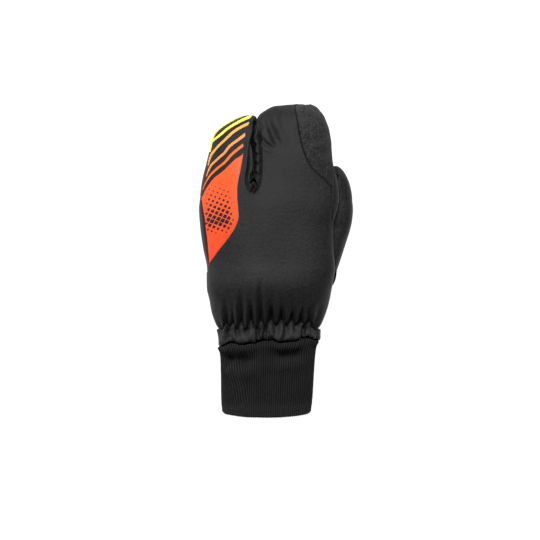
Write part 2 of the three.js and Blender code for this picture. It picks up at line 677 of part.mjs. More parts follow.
const thumbOutside = thumbSolid(0, 12, 14).subtract(handSolid(-2 * SEAM_GAP, OUTSIDE));
const thumbCavity = thumbSolid(CLOTH, 8, 10).subtract(handSolid(-CLOTH, INSIDE));

const film = handSolid(-SEAM_GAP - FILM, OUTSIDE)
  .subtract(handSolid(-SEAM_GAP, OUTSIDE))
  .intersect(back)
  .subtract(gussetClear);

const softshell = { color: 0x2a2a2c, roughness: 0.85, metalness: 0 };
const materials = {
  softshell: new THREE.MeshStandardMaterial(softshell),
  suede: new THREE.MeshStandardMaterial({ color: 0x333336, roughness: 1, metalness: 0 }),
  palm: new THREE.MeshStandardMaterial({ color: 0x232325, roughness: 0.95, metalness: 0 }),
  knit: new THREE.MeshStandardMaterial({ color: 0x1e1e20, roughness: 1, metalness: 0 }),
  orange: new THREE.MeshStandardMaterial({ color: 0xff5c2e, roughness: 0.45, metalness: 0 }),
  amber: new THREE.MeshStandardMaterial({ color: 0xffa040, roughness: 0.45, metalness: 0 }),
  yellow: new THREE.MeshStandardMaterial({ color: 0xfff04a, roughness: 0.45, metalness: 0 }),
};

const mitt = new THREE.Group();

// A named piece. A cut that grazes a surface can leave specks of it, which are dropped.
function add(name, solid, material) {
  const [whole] = solid.decompose().sort((a, b) => b.volume() - a.volume());
  const mesh = whole.getMesh();
  const geometry = new THREE.BufferGeometry();
  const points = new Float32Array(mesh.numVert * 3);
  for (let i = 0; i < mesh.numVert; i++) {
    points.set(mesh.vertProperties.subarray(i * mesh.numProp, i * mesh.numProp + 3), i * 3);
  }
  geometry.setAttribute("position", new THREE.BufferAttribute(points, 3));
  geometry.setIndex(new THREE.BufferAttribute(mesh.triVerts, 1));
  geometry.computeVertexNormals();
  const piece = new THREE.Mesh(geometry, material);
  piece.name = name;
  mitt.add(piece);
  return piece;
}

add("back_panel", wall.intersect(back).subtract(suedeClear).subtract(gussetClear), materials.softshell);
add("index_suede", wall.intersect(back).intersect(suedeRegion).subtract(gussetClear), materials.suede);
add("palm_panel", wall.subtract(backClear).subtract(gussetClear).subtract(thumbHole), materials.palm);
add("fork_gusset", wall.intersect(gussetRegion), materials.softshell);
add("thumb_pouch", thumbOutside.subtract(thumbCavity).subtract(thumbHole), materials.softshell);
add("gathered_hem", gatheredHem(), materials.softshell);
add("knit_cuff", knitCuff(), materials.knit);
add("print_field", film.intersect(prism(FIELD_OUTLINE)), materials.orange);
BAND_ROWS.forEach((row, i) => {
  const material = i < 2 ? materials.amber : materials.yellow;
  add(`print_band_${i + 1}`, film.intersect(prism(bandOutline(row))), material);
});

// The origin is in the middle of the mitt's plan, on the surface below it.
mitt.updateMatrixWorld(true);
const box = new THREE.Box3().setFromObject(mitt, true);
mitt.position.set(-(box.min.x + box.max.x) / 2, -(box.min.y + box.max.y) / 2, -box.min.z);

export default mitt;
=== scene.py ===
import bpy
import numpy as np
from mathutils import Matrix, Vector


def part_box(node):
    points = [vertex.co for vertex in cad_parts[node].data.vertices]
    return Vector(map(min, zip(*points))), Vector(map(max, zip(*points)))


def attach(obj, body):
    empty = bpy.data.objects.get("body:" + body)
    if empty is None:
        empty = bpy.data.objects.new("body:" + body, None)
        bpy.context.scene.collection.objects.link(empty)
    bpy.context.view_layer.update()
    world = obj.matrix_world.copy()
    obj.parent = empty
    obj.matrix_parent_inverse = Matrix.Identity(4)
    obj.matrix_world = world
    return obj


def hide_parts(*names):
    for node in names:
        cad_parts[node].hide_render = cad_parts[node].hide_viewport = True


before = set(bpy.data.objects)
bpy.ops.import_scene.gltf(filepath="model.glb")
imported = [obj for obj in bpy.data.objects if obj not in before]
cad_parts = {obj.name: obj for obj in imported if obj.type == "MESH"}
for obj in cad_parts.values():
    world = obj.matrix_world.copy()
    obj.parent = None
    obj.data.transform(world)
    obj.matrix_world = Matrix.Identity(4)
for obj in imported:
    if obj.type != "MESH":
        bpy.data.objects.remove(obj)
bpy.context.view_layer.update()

MM = 0.001

# The back of the hand.
# Softshell over fleece and padding, cut as one panel that covers both claws up to their tips.
# Its cut edges turn in at every seam, and elastic gathers its lower edge into puffs and creases.
HAND_LENGTH = 200 * MM  # cinch to the longest tip
PALM_WIDTH = 120 * MM
HAND_DEPTH = 46 * MM
CLOTH = 2.6 * MM
YARN_PITCH = 0.7 * MM
CROTCH_AT = 133 * MM  # from the cinch to the slit's end
WEB_LENGTH = 10 * MM  # the valley that the slit runs out in
FORK_GAP = 0.9 * MM
FORK_OPENING = 8 * MM  # along the hand, over which the slit opens to its gap
PARTING_LENGTH = 70 * MM  # along the hand, over which its one oval parts into two away from the slit
PARTING_WIDTH = 12 * MM  # across it, within which it parts over the valley's length
TIP_ROUNDING = 25 * MM
TIP_ROUNDNESS = 2.2
RIM_FLATTENING = 7 * MM  # how deep the floor flattens the cloth below the rim
COVE_WIDTH = 0.1  # of PALM_WIDTH, over which the palm lifts off the floor beside the thumb
BACK_ROUNDNESS = 2.4  # the power of the flattened oval over the back
PALM_ROUNDNESS = 2.7  # and of the one under the palm
FORK_ROUNDNESS = 4.5  # and of the back where it turns down into the slit
PUFF_HEIGHT = 2.4 * MM  # of the gather's puffs
SWELL_HEIGHT = 2.6 * MM  # of the padding that the gather pushes up
SWELL_AT = 34 * MM
SWELL_WIDTH = 16 * MM
ROUNDING = 1e-9  # two places closer than this are the same place
TABLE_GAP = 0.02 * MM  # cloth that lies on the table stays this far above it
palm_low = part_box("palm_panel")[0]
CINCH_Y = palm_low[1]
MIDDLE_X = palm_low[0] + 0.5 * PALM_WIDTH

# Columns: share of HAND_LENGTH from the cinch, little and index edge as shares of PALM_WIDTH,
# height of the back, and of the rim on either side, as shares of HAND_DEPTH.
HAND_ROWS = np.array([
    (0.000, -0.371, 0.412, 0.660, 0.33, 0.33),
    (0.030, -0.386, 0.430, 0.740, 0.34, 0.34),
    (0.063, -0.404, 0.453, 0.820, 0.35, 0.36),
    (0.108, -0.419, 0.479, 0.900, 0.36, 0.40),
    (0.162, -0.436, 0.496, 0.955, 0.37, 0.48),
    (0.207, -0.437, 0.510, 0.985, 0.38, 0.55),
    (0.252, -0.439, 0.519, 1.000, 0.38, 0.61),
    (0.342, -0.468, 0.509, 1.000, 0.38, 0.64),
    (0.441, -0.491, 0.507, 1.000, 0.38, 0.64),
    (0.523, -0.500, 0.540, 0.990, 0.38, 0.64),
    (0.565, -0.493, 0.549, 0.975, 0.38, 0.64),
    (0.613, -0.484, 0.545, 0.950, 0.38, 0.64),
    (0.658, -0.472, 0.531, 0.925, 0.38, 0.63),
    (0.721, -0.447, 0.504, 0.890, 0.38, 0.58),
    (0.793, -0.418, 0.493, 0.850, 0.38, 0.48),
    (0.860, -0.390, 0.488, 0.810, 0.38, 0.42),
    (1.000, -0.360, 0.485, 0.760, 0.37, 0.38),
])
# Columns: share of HAND_LENGTH, place of the line between the claws as a share of PALM_WIDTH.
FORK_ROWS = np.array([
    (0.000, -0.071), (0.200, -0.080), (0.600, -0.094), (0.670, -0.094), (0.725, -0.089),
    (0.793, -0.090), (0.860, -0.082), (0.937, -0.066), (1.000, -0.058),
])
# Columns: share of HAND_LENGTH, height of the hollow over the thumb as a share of HAND_DEPTH,
# and where it starts, as a share of PALM_WIDTH.
COVE_ROWS = np.array([
    (0.00, 0.00, 0.460), (0.15, 0.00, 0.450), (0.20, 0.20, 0.420), (0.25, 0.44, 0.395),
    (0.29, 0.50, 0.385), (0.70, 0.50, 0.385), (0.75, 0.40, 0.410), (0.80, 0.00, 0.430),
    (1.00, 0.00, 0.450),
])
# Each claw's tip, and from where and how roundly its outer and fork corners close to it.
CLAWS = {
    "ring": {"tip": (-0.125, 0.942), "outer": (0.833, 1.56), "fork": (0.925, 4.0), "height": 0.95},
    "index": {"tip": (0.322, 0.9915), "outer": (0.778, 2.0), "fork": (0.827, 3.45), "height": 1.0},
}
# Columns: share of HAND_LENGTH, how far the palm's cloth comes over the top on the little
# finger's side and on the index finger's, as shares of PALM_WIDTH. Below zero it stops at the rim.
PALM_OVER_ROWS = np.array([
    (0.000, -0.030, -0.030), (0.200, -0.030, -0.030), (0.252, 0.018, -0.030),
    (0.342, 0.030, -0.030), (0.420, 0.034, -0.020), (0.477, 0.036, 0.028),
    (0.523, 0.027, 0.047), (0.565, 0.010, 0.052), (0.620, -0.030, 0.044),
    (0.670, -0.030, 0.016), (0.720, -0.030, -0.030), (1.050, -0.030, -0.030),
])
# The gusset's seam round the slit: share of HAND_LENGTH, then its left and right edge.
GUSSET_ROWS = np.array([
    (0.500, -0.135, -0.046), (0.640, -0.139, -0.042), (0.668, -0.136, -0.038),
    (0.705, -0.125, -0.036), (0.750, -0.118, -0.036), (0.786, -0.113, -0.037),
    (0.817, -0.107, -0.038), (0.849, -0.098, -0.040), (0.880, -0.089, -0.044),
    (0.910, -0.085, -0.050), (0.950, -0.070, -0.057), (1.010, -0.060, -0.056),
])
GUSSET_START = 0.589 * HAND_LENGTH  # where that seam's rounded end is nearest to the cinch
GUSSET_ROUND = 0.645 * HAND_LENGTH  # and where its two sides become straight
GUSSET_MIDDLE = -0.0938 * PALM_WIDTH
# The suede's seam with the back: share of HAND_LENGTH, place as a share of PALM_WIDTH.
SUEDE_ROWS = np.array([
    (0.590, 0.580), (0.613, 0.503), (0.649, 0.448), (0.676, 0.395), (0.707, 0.343),
    (0.757, 0.302), (0.824, 0.268), (0.892, 0.249), (0.970, 0.228), (1.040, 0.222),
])
SUEDE_START = 0.6125 * HAND_LENGTH
# The cinch's zigzag from the little finger's side: place as a share of PALM_WIDTH, and how far
# the creases draw back above the cinch or the puffs hang below it, as a share of HAND_LENGTH.
# Every other point is a crease, starting with the second.
CINCH_ROWS = np.array([
    (-0.325, -0.026), (-0.296, 0.000), (-0.274, -0.020),
    (-0.240, 0.006), (-0.214, -0.020), (-0.180, 0.007), (-0.143, -0.022), (-0.109, 0.016),
    (-0.068, -0.024), (-0.034, 0.014), (0.000, -0.011), (0.041, 0.018), (0.075, -0.006),
    (0.120, 0.016), (0.150, -0.006), (0.199, 0.014), (0.225, -0.006), (0.274, 0.007),
    (0.289, -0.015), (0.326, 0.009), (0.362, -0.026),
])
# Folds in the back: the width of the valley in millimetres, then its points, each as a share of
# PALM_WIDTH and of HAND_LENGTH with its depth in millimetres. A depth below zero is a ridge.
FOLDS = [
    (2.2, (-0.318, -0.02, 2.6), (-0.345, 0.05, 0)),
    (2.4, (-0.276, -0.02, 3.2), (-0.281, 0.05, 1.6), (-0.281, 0.13, 0)),
    (1.8, (-0.24, -0.02, 2.2), (-0.245, 0.05, 0)),
    (2.6, (-0.193, -0.02, 4.2), (-0.184, 0.08, 2.2), (-0.178, 0.16, 0)),
    (2.6, (-0.114, -0.02, 3.6), (-0.108, 0.11, 0)),
    (2.2, (-0.047, -0.02, 4.8), (-0.042, 0.09, 2.6), (-0.036, 0.215, 0.1)),
    (2.7, (0.041, -0.02, 3.4), (0.041, 0.115, 0)),
    (2.7, (0.117, -0.02, 3.4), (0.142, 0.12, 0)),
    (2.4, (0.186, -0.02, 3.2), (0.236, 0.09, 0)),
    (2.5, (0.245, -0.02, 3.4), (0.305, 0.125, 0)),
    (2.2, (0.289, -0.02, 2.8), (0.335, 0.095, 0)),
    (2.2, (0.34, -0.02, 2.8), (0.41, 0.105, 0)),
    (3.4, (0.001, 0.96, 0.4), (0.02, 0.91, 1.5), (0.045, 0.871, 2.3), (0.08, 0.825, 1.9), (0.11, 0.775, 0)),
    (1.9, (-0.034, 0.83, 0.9), (0.019, 0.801, 1.5), (0.085, 0.776, 0.1)),
    (1.5, (-0.073, 0.925, 0), (-0.079, 0.895, 3.2), (-0.082, 0.865, 4.6), (-0.086, 0.835, 3.4),
     (-0.088, 0.785, 0.8)),
    (1.6, (-0.03, 0.885, -0.9), (-0.072, 0.826, -1.2)),
    (4, (0.135, 0.975, 1.1), (0.13, 0.86, 0.1)),
    (3.5, (0.195, 0.975, 0.9), (0.185, 0.88, 0.1)),
]


def curve(rows, column):
    """A curve through a table's rows that doesn't overshoot: between two rows it is a cubic whose
    slope at a row is the harmonic mean of the straight slopes beside it."""
    at, values = rows[:, 0], rows[:, column]
    steps = np.diff(at)
    slopes = np.diff(values) / steps
    before, after = slopes[:-1], slopes[1:]
    same_way = before * after > 0
    bends = np.where(same_way, 2 * before * after / np.where(same_way, before + after, 1), 0)
    tangents = np.concatenate([[0], bends, [0]])

    def value(s):
        i = np.clip(np.searchsorted(at, s, side="right") - 1, 0, len(steps) - 1)
        t = np.clip((s - at[i]) / steps[i], 0, 1)
        straight = values[i] + (values[i + 1] - values[i]) * t * t * (3 - 2 * t)
        bend = t * (1 - t) * ((1 - t) * tangents[i] - t * tangents[i + 1])
        return straight + steps[i] * bend

    return value


def cap(t, power):
    """How wide a rounded end still is at share t of its length: (1 - t^power)^(1/power)."""
    return (1 - np.clip(t, 0, 1) ** power) ** (1 / power)


def smooth(t):
    """A step from 0 to 1 with level ends: 3t^2 - 2t^3."""
    t = np.clip(t, 0, 1)
    return t * t * (3 - 2 * t)


def mix(a, b, t):
    """The straight blend of a and b at share t."""
    return a + (b - a) * t


hand_little, hand_index, hand_back, rim_little, rim_index = (curve(HAND_ROWS, i) for i in range(1, 6))
fork_share = curve(FORK_ROWS, 1)
cove_height, cove_start = curve(COVE_ROWS, 1), curve(COVE_ROWS, 2)
over_little, over_index = curve(PALM_OVER_ROWS, 1), curve(PALM_OVER_ROWS, 2)
gusset_share = {"ring": curve(GUSSET_ROWS, 1), "index": curve(GUSSET_ROWS, 2)}
suede_share = curve(SUEDE_ROWS, 1)


def fork_line(y):
    """Where the two claws lie side by side, across the hand."""
    return fork_share(y / HAND_LENGTH) * PALM_WIDTH


def past_slit(y):
    """Whether y is at the slit's end or beyond it, where the claws are apart."""
    return y >= CROTCH_AT - ROUNDING


def rim_height(x, y):
    """The height of the widest line round the mitt: it slants up to the thumb's side."""
    s = y / HAND_LENGTH
    little, index = hand_little(s) * PALM_WIDTH, hand_index(s) * PALM_WIDTH
    across = np.clip((x - little) / (index - little), 0, 1)
    return mix(rim_little(s), rim_index(s), across) * HAND_DEPTH


def claw_edge(claw, side, y):
    """Where a claw ends across the hand at y: straight along its table, then closing to its tip
    as a rounded corner. side is outer or fork."""
    from_share, power = CLAWS[claw][side]
    tip_x, tip_y = CLAWS[claw]["tip"]
    s = np.minimum(y / HAND_LENGTH, from_share)
    if side == "outer":
        straight = (hand_little(s) if claw == "ring" else hand_index(s)) * PALM_WIDTH
    else:
        gap = FORK_GAP / 2 * smooth((y - CROTCH_AT) / FORK_OPENING)
        straight = fork_share(s) * PALM_WIDTH + (-gap if claw == "ring" else gap)
    share = cap((y / HAND_LENGTH - from_share) / (tip_y - from_share), power)
    return mix(tip_x * PALM_WIDTH, straight, share)


def hand_height(top, x, y):
    """The bare height of the back (top) or of the palm's underside at x, y. Across the hand it is
    a flattened oval from edge to edge, which parts into two ovals at the slit. The underside is
    cut off by the floor, and lifts off it over the thumb."""
    x, y = np.broadcast_arrays(x, y)
    s = y / HAND_LENGTH
    middle = fork_line(y)
    on_ring = x <= middle
    parted = past_slit(y)
    at_slit = smooth((y - (CROTCH_AT - WEB_LENGTH)) / WEB_LENGTH)
    away = smooth((y - CROTCH_AT) / PARTING_LENGTH + 0.5)
    split = mix(at_slit, away, smooth(np.abs(x - middle) / PARTING_WIDTH))
    power = BACK_ROUNDNESS if top else PALM_ROUNDNESS

    def across(a, b, beside_fork=False):
        t = (2 * x - a - b) / np.maximum(np.abs(b - a), ROUNDING)
        if beside_fork and top:
            to_fork = np.where(on_ring, t, -t)
            return np.where(to_fork > 0, cap(to_fork, FORK_ROUNDNESS), cap(np.abs(t), power))
        return cap(np.abs(t), power)

    ring_outer, index_outer = claw_edge("ring", "outer", y), claw_edge("index", "outer", y)
    left = np.where(on_ring, ring_outer, np.where(parted, claw_edge("index", "fork", y), middle))
    right = np.where(on_ring, np.where(parted, claw_edge("ring", "fork", y), middle), index_outer)
    whole = across(ring_outer, index_outer)
    roundness = mix(whole, across(left, right, True), split)
    rim = rim_height(x, y)
    tip_y = np.where(on_ring, CLAWS["ring"]["tip"][1], CLAWS["index"]["tip"][1]) * HAND_LENGTH
    ending = cap((y - (tip_y - TIP_ROUNDING)) / TIP_ROUNDING, TIP_ROUNDNESS)
    if top:
        from_fork = smooth(np.abs(x - middle) / (28 * MM))
        past_crotch = smooth((y - CROTCH_AT + 28 * MM) / (42 * MM))
        flatter = np.where(on_ring, CLAWS["ring"]["height"], CLAWS["index"]["height"])
        back = hand_back(s) * HAND_DEPTH * mix(1, flatter, past_crotch * from_fork)
        return rim + (back - rim) * roundness * ending
    rise = smooth((x / PALM_WIDTH - cove_start(s)) / COVE_WIDTH)
    under = rim - (rim + RIM_FLATTENING) * roundness * ending
    return np.minimum(rim, np.maximum(np.maximum(0, under), cove_height(s) * HAND_DEPTH * rise))


def bare_skin(top, x, y):
    """Points of the bare surface over x, y."""
    return np.stack([x, y, hand_height(top, x, y)], axis=-1)


def raised(top, x, y, lift):
    """Points of the mitt's skin over x, y, moved out by lift square to the bare surface."""
    near = 0.05 * MM
    x, y, lift = np.broadcast_arrays(x, y, lift)
    slope_x = (hand_height(top, x + near, y) - hand_height(top, x - near, y)) / (2 * near)
    slope_y = (hand_height(top, x, y + near) - hand_height(top, x, y - near)) / (2 * near)
    steep = np.sqrt(1 + slope_x**2 + slope_y**2) * (1 if top else -1)
    out = np.stack([-slope_x / steep, -slope_y / steep, 1 / steep], axis=-1)
    if not top:
        out[..., 2] = np.where(hand_height(top, x, y) < 0.01 * MM, 0, out[..., 2])
    return bare_skin(top, x, y) + out * lift[..., None]


def fold_relief(x, y, folds):
    """The sum of some folds: each is a valley along a chain of points, -depth * exp(-(d/width)^2)
    at distance d from the chain, with a low shoulder beside it."""
    x, y = np.broadcast_arrays(x, y)
    relief = np.zeros(x.shape)
    for width, *chain in folds:
        chain = np.array(chain) * (PALM_WIDTH, HAND_LENGTH, MM)
        near, depth = np.full(x.shape, np.inf), np.zeros(x.shape)
        for start, end in zip(chain[:-1], chain[1:]):
            along = end[:2] - start[:2]
            t = np.clip(((x - start[0]) * along[0] + (y - start[1]) * along[1]) / (along @ along), 0, 1)
            distance = np.hypot(x - start[0] - t * along[0], y - start[1] - t * along[1])
            depth = np.where(distance < near, mix(start[2], end[2], t), depth)
            near = np.minimum(near, distance)
        d = near / (width * MM)
        relief += depth * (0.32 * np.exp(-((d - 1.9) ** 2)) - np.exp(-(d**2)))
    return relief


def padding_relief(x, y, seed, height, wave):
    """Soft uneven padding: a sum of nine plane waves in seeded directions, each about wave long."""
    random = np.random.default_rng(seed)
    total = np.zeros(np.broadcast(x, y).shape)
    for _ in range(9):
        turn = random.uniform(0, 2 * np.pi)
        turns = 2 * np.pi / (wave * random.uniform(0.7, 1.6))
        total += np.sin(turns * (np.cos(turn) * x + np.sin(turn) * y) + random.uniform(0, 7))
    return total * height / 3


def cinch_line(x):
    """How far the gathered edge lies above or below the cinch at x: straight from turn to turn."""
    return np.interp(x / PALM_WIDTH, CINCH_ROWS[:, 0], CINCH_ROWS[:, 1]) * HAND_LENGTH


def cinch_puff(x):
    """1 in the middle of a puff of the gather and 0 on a crease, as a half wave between them."""
    turns = np.arange(len(CINCH_ROWS)) * 0.5
    return np.abs(np.cos(np.pi * np.interp(x / PALM_WIDTH, CINCH_ROWS[:, 0], turns)))


def roll(distance, radius):
    """How far cloth has turned down near its edge, as a quarter circle: 0 past the radius."""
    t = 1 - np.clip(distance / radius, 0, 1)
    return radius * (1 - np.sqrt(1 - t * t))


def seam_dip(distance, depth=1.1, width=0.9):
    """How far a panel turns in at its seam, in metres from millimetres, with the low ridge that
    its seam allowance makes beside it."""
    d = np.abs(distance) / (width * MM)
    return (0.2 * depth * np.exp(-((d - 2.3) ** 2)) - depth * np.exp(-(d**2))) * MM


def back_relief(x, y):
    """What folds, puffs and padding add to the bare back at x, y, fading out on the rim."""
    over_rim = hand_height(True, x, y) - rim_height(x, y)
    puffs = (cinch_puff(x) - 0.45) * PUFF_HEIGHT * (1 - smooth(y / (30 * MM)))
    swell = SWELL_HEIGHT * np.exp(-(((y - SWELL_AT) / SWELL_WIDTH) ** 2)) * smooth(over_rim / (18 * MM))
    padding = padding_relief(x, y, 3, 0.4 * MM, 42 * MM)
    edge_turn = -roll(y, 3.5 * MM) - 2.4 * MM * np.clip(1 - y / (20 * MM), 0, 1) ** 2
    return (fold_relief(x, y, FOLDS) + puffs + swell + padding) * smooth(over_rim / (7 * MM)) + edge_turn


def stops(start, *stretches):
    """Places along a line from start on, in stretches (end, count, crowded first, crowded last).
    Where a stretch is crowded, its places close up as a cosine does."""
    at = [np.array([start])]
    for end, count, first, last in stretches:
        t = np.linspace(0, 1, count + 1)[1:]
        if first and last:
            t = (1 - np.cos(np.pi * t)) / 2
        elif first:
            t = 1 - np.cos(np.pi * t / 2)
        elif last:
            t = np.sin(np.pi * t / 2)
        at.append(at[-1][-1] + (end - at[-1][-1]) * t)
    return np.concatenate(at)


def shares(first, first_count, last, count, last_count):
    """Shares from 0 to 1 in three stretches that meet at first and last, crowded at both ends."""
    return stops(
        0, (first, first_count, True, False), (last, count, False, False), (1, last_count, False, True)
    )


def skin(name, *grids, column_step=None):
    """A mesh object of some grids of points in the mitt's own place, welded where they meet. Each
    has rows and columns, and its faces turn from column to row. UVs are lengths along the grid, or
    across it a step for each column. A face that a pole shrinks becomes a triangle."""
    points, corners, uvs, start = [], [], [], 0
    for grid in grids:
        rows, columns = grid.shape[:2]
        index = start + np.arange(rows * columns).reshape(rows, columns)
        quads = np.stack([index[:-1, :-1], index[:-1, 1:], index[1:, 1:], index[1:, :-1]], axis=-1)
        across = np.linalg.norm(np.diff(grid, axis=1), axis=2)
        if column_step:
            across = 0 * across + column_step
        along = np.linalg.norm(np.diff(grid, axis=0), axis=2).mean(axis=1)
        u = np.concatenate([np.zeros((rows, 1)), np.cumsum(across, axis=1)], axis=1)
        v = np.concatenate([[0], np.cumsum(along)])[:, None] + 0 * u
        points.append(grid.reshape(-1, 3))
        corners.append(quads.reshape(-1, 4))
        uvs.append(np.stack([u - u.mean(axis=1, keepdims=True), v], axis=-1).reshape(-1, 2))
        start += rows * columns
    points, quads, uvs = np.concatenate(points), np.concatenate(corners), np.concatenate(uvs)
    _, first, welded = np.unique(
        np.round(points / (0.004 * MM)).astype(np.int64), axis=0, return_index=True, return_inverse=True
    )
    own = welded.reshape(-1)[quads]
    shrunk = own == np.roll(own, -1, axis=1)
    whole = ~shrunk.any(axis=1)
    pointed = shrunk.sum(axis=1) == 1
    keep = np.sort(np.argsort(shrunk[pointed], axis=1, kind="stable")[:, :3], axis=1)
    triangles = np.take_along_axis(own[pointed], keep, axis=1)
    faces = own[whole].tolist() + triangles.tolist()
    loops = np.concatenate([
        quads[whole].reshape(-1), np.take_along_axis(quads[pointed], keep, axis=1).reshape(-1)
    ])
    mesh = bpy.data.meshes.new(name)
    mesh.from_pydata(points[first] + np.array([MIDDLE_X, CINCH_Y, 0]), [], faces)
    layer = mesh.uv_layers.new(name="cloth")
    layer.data.foreach_set("uv", uvs[loops].astype(np.float32).reshape(-1))
    mesh.polygons.foreach_set("use_smooth", np.ones(len(mesh.polygons), bool))
    piece = bpy.data.objects.new(name, mesh)
    bpy.context.scene.collection.objects.link(piece)
    return piece


def spread(left, right, rows, across):
    """A grid in plan: across each row from left to right at these shares, its x and its y."""
    x = mix(left[:, None], right[:, None], across)
    return x, rows[:, None] + 0 * x


def above_table(points):
    """The same points, with none below the table."""
    points[..., 2] = np.maximum(points[..., 2], TABLE_GAP)
    return points


def thicken(piece, thickness):
    """Gives a skin its cloth's thickness, inwards."""
    wall = piece.modifiers.new("cloth", "SOLIDIFY")
    wall.thickness = thickness
    wall.offset = -1
    wall.use_even_offset = False
    return piece


def stand_for(piece, node, finish):
    """Gives a piece its material and puts it in the place of its plain solid."""
    piece.data.materials.append(finish)
    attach(piece, "root")
    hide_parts(node)


class Wire:
    """A number that runs through a node tree. Python's operators add Math nodes to it."""

    def __init__(self, nodes, socket):
        self.nodes = nodes
        self.socket = socket

    def math(self, operation, *values):
        inputs = dict(enumerate((self, *values)))
        return self.nodes.node("ShaderNodeMath", {"operation": operation}, inputs)

    def __add__(self, other):
        return self.math("ADD", other)

    def __sub__(self, other):
        return self.math("SUBTRACT", other)

    def __mul__(self, other):
        return self.math("MULTIPLY", other)

    def __truediv__(self, other):
        return self.math("DIVIDE", other)

    def __rsub__(self, other):
        return (self * -1).math("ADD", other)

    __radd__ = __add__
    __rmul__ = __mul__

    def wave(self, pitch):
        """A sine of this length, between -1 and 1."""
        return (self * (2 * np.pi / pitch)).math("SINE")

    def rise(self, low, high):
        """0 at low, 1 at high, and straight between."""
        inputs = {"Value": self, "From Min": low, "From Max": high}
        return self.nodes.node("ShaderNodeMapRange", {"clamp": True}, inputs)


class Nodes:
    """The nodes round one shader. node() adds any node, and parts() and feed() its commonest uses."""

    def __init__(self, tree, shader):
        self.tree = tree
        self.shader = tree.nodes[shader]

    def node(self, kind, settings=None, inputs=None, output=0):
        """A node of this type with these settings and these values or links of its sockets."""
        made = self.tree.nodes.new(kind)
        for key, value in (settings or {}).items():
            setattr(made, key, value)
        for key, value in (inputs or {}).items():
            if isinstance(value, Wire):
                self.tree.links.new(value.socket, made.inputs[key])
            else:
                made.inputs[key].default_value = value
        return Wire(self, made.outputs[output])

    def parts(self, vector):
        """The three parts of a vector."""
        first = self.node("ShaderNodeSeparateXYZ", None, {0: vector})
        return [Wire(self, socket) for socket in first.socket.node.outputs]

    def feed(self, name, wire):
        """Links a wire to the shader's socket of this name."""
        self.tree.links.new(wire.socket, self.shader.inputs[name])


class Paint(Nodes):
    """A material, whose constants are set on its shader's own sockets."""

    def __init__(self, name, **constants):
        self.material = bpy.data.materials.new(name)
        self.material.use_nodes = True
        super().__init__(self.material.node_tree, "Principled BSDF")
        for key, value in constants.items():
            self.shader.inputs[key.replace("_", " ")].default_value = value

    def place(self):
        """Object coordinates, in metres."""
        return self.node("ShaderNodeTexCoord", output="Object")

    def cloth(self):
        """The cloth's own lengths across and along, from its UV map."""
        return self.parts(self.node("ShaderNodeUVMap", {"uv_map": "cloth"}))[:2]

    def noise(self, size, detail=2.0, roughness=0.5, stretch=(1, 1, 1)):
        """Noise with lumps of about this size, around 0.5."""
        scaled = self.node("ShaderNodeMapping", None, {"Vector": self.place(), "Scale": stretch})
        inputs = {"Vector": scaled, "Scale": 1 / size, "Detail": detail, "Roughness": roughness}
        return self.node("ShaderNodeTexNoise", None, inputs)

    def blend(self, factor, a, b):
        """A colour between a and b."""
        return self.node("ShaderNodeMix", {"data_type": "RGBA"}, {0: factor, 6: a, 7: b}, output=2)

    def bump(self, height, distance, strength=1.0):
        """Puts a relief of this height into the surface's normal."""
        inputs = {"Height": height, "Distance": distance, "Strength": strength}
        self.feed("Normal", self.node("ShaderNodeBump", None, inputs))


def grey(level):
    """A grey of this linear level."""
    return (level, level, level, 1)


def softshell_finish(name, dark, light):
    """Black stretch softshell: a close plain weave of matt yarn with a faint sheen, uneven in tone
    where the padding lifts it, and with painted shade that darkens it on the claws."""
    paint = Paint(name, Specular_IOR_Level=0.36, Sheen_Weight=0.02, Sheen_Roughness=0.5)
    u, v = paint.cloth()
    weave = u.wave(YARN_PITCH) * v.wave(YARN_PITCH)
    grain = paint.noise(1.9 * MM, 3, 0.7)
    lumps = paint.noise(2.3 * MM, 0)
    cloudy = paint.noise(13 * MM, 2)
    # Painted shade: this mask darkens the cloth's colour over the claws.
    claws = paint.parts(paint.place())[1].rise(25 * MM, 75 * MM)
    tone = (grain - 0.5) * 4.2 + weave * 0.14 + (cloudy - 0.5) * 0.3 + 0.5 - claws * 0.4
    paint.feed("Base Color", paint.blend(tone, grey(dark), grey(light)))
    paint.feed("Roughness", 0.48 + grain * 0.28)
    paint.bump(weave * 0.2 + grain + lumps * 1.6, 0.26 * MM, 0.6)
    return paint.material


def on_claw(claw, place, y):
    """A place across the hand at y, kept between the claw's two edges."""
    low, high = ("outer", "fork") if claw == "ring" else ("fork", "outer")
    return np.clip(place, claw_edge(claw, low, y), claw_edge(claw, high, y))


def side_seam(claw, y):
    """Where the back ends on the claw's outer side: on the rim, or in from it."""
    s = y / HAND_LENGTH
    share = hand_little(s) + over_little(s) if claw == "ring" else hand_index(s) - over_index(s)
    return on_claw(claw, share * PALM_WIDTH, y)


def gusset_seam(claw, y):
    """The gusset's seam on the claw's side of the slit: in the middle up to its start, then an
    ellipse's end, then along its table, and beyond the slit's end always on its claw."""
    closing = cap((GUSSET_ROUND - y) / (GUSSET_ROUND - GUSSET_START), 2)
    place = mix(GUSSET_MIDDLE, gusset_share[claw](y / HAND_LENGTH) * PALM_WIDTH, closing)
    return np.where(past_slit(y), on_claw(claw, place, y), place)


def suede_seam(y):
    """The seam between back and suede, between the index claw's two seams."""
    place = suede_share(y / HAND_LENGTH) * PALM_WIDTH
    return np.clip(place, gusset_seam("index", y), side_seam("index", y))


def seam_line(place, y):
    """A seam's points in plan, from its place across at each y."""
    return np.stack([place, y], axis=-1)


def line_distance(x, y, line):
    """The distance in plan from x, y to the nearest stretch of a line through points."""
    start, along = line[:-1], np.diff(line, axis=0)
    reach = np.stack(np.broadcast_arrays(x, y), axis=-1)[..., None, :] - start
    t = np.clip((reach * along).sum(axis=-1) / (along**2).sum(axis=-1), 0, 1)
    return np.linalg.norm(reach - t[..., None] * along, axis=-1).min(axis=-1)


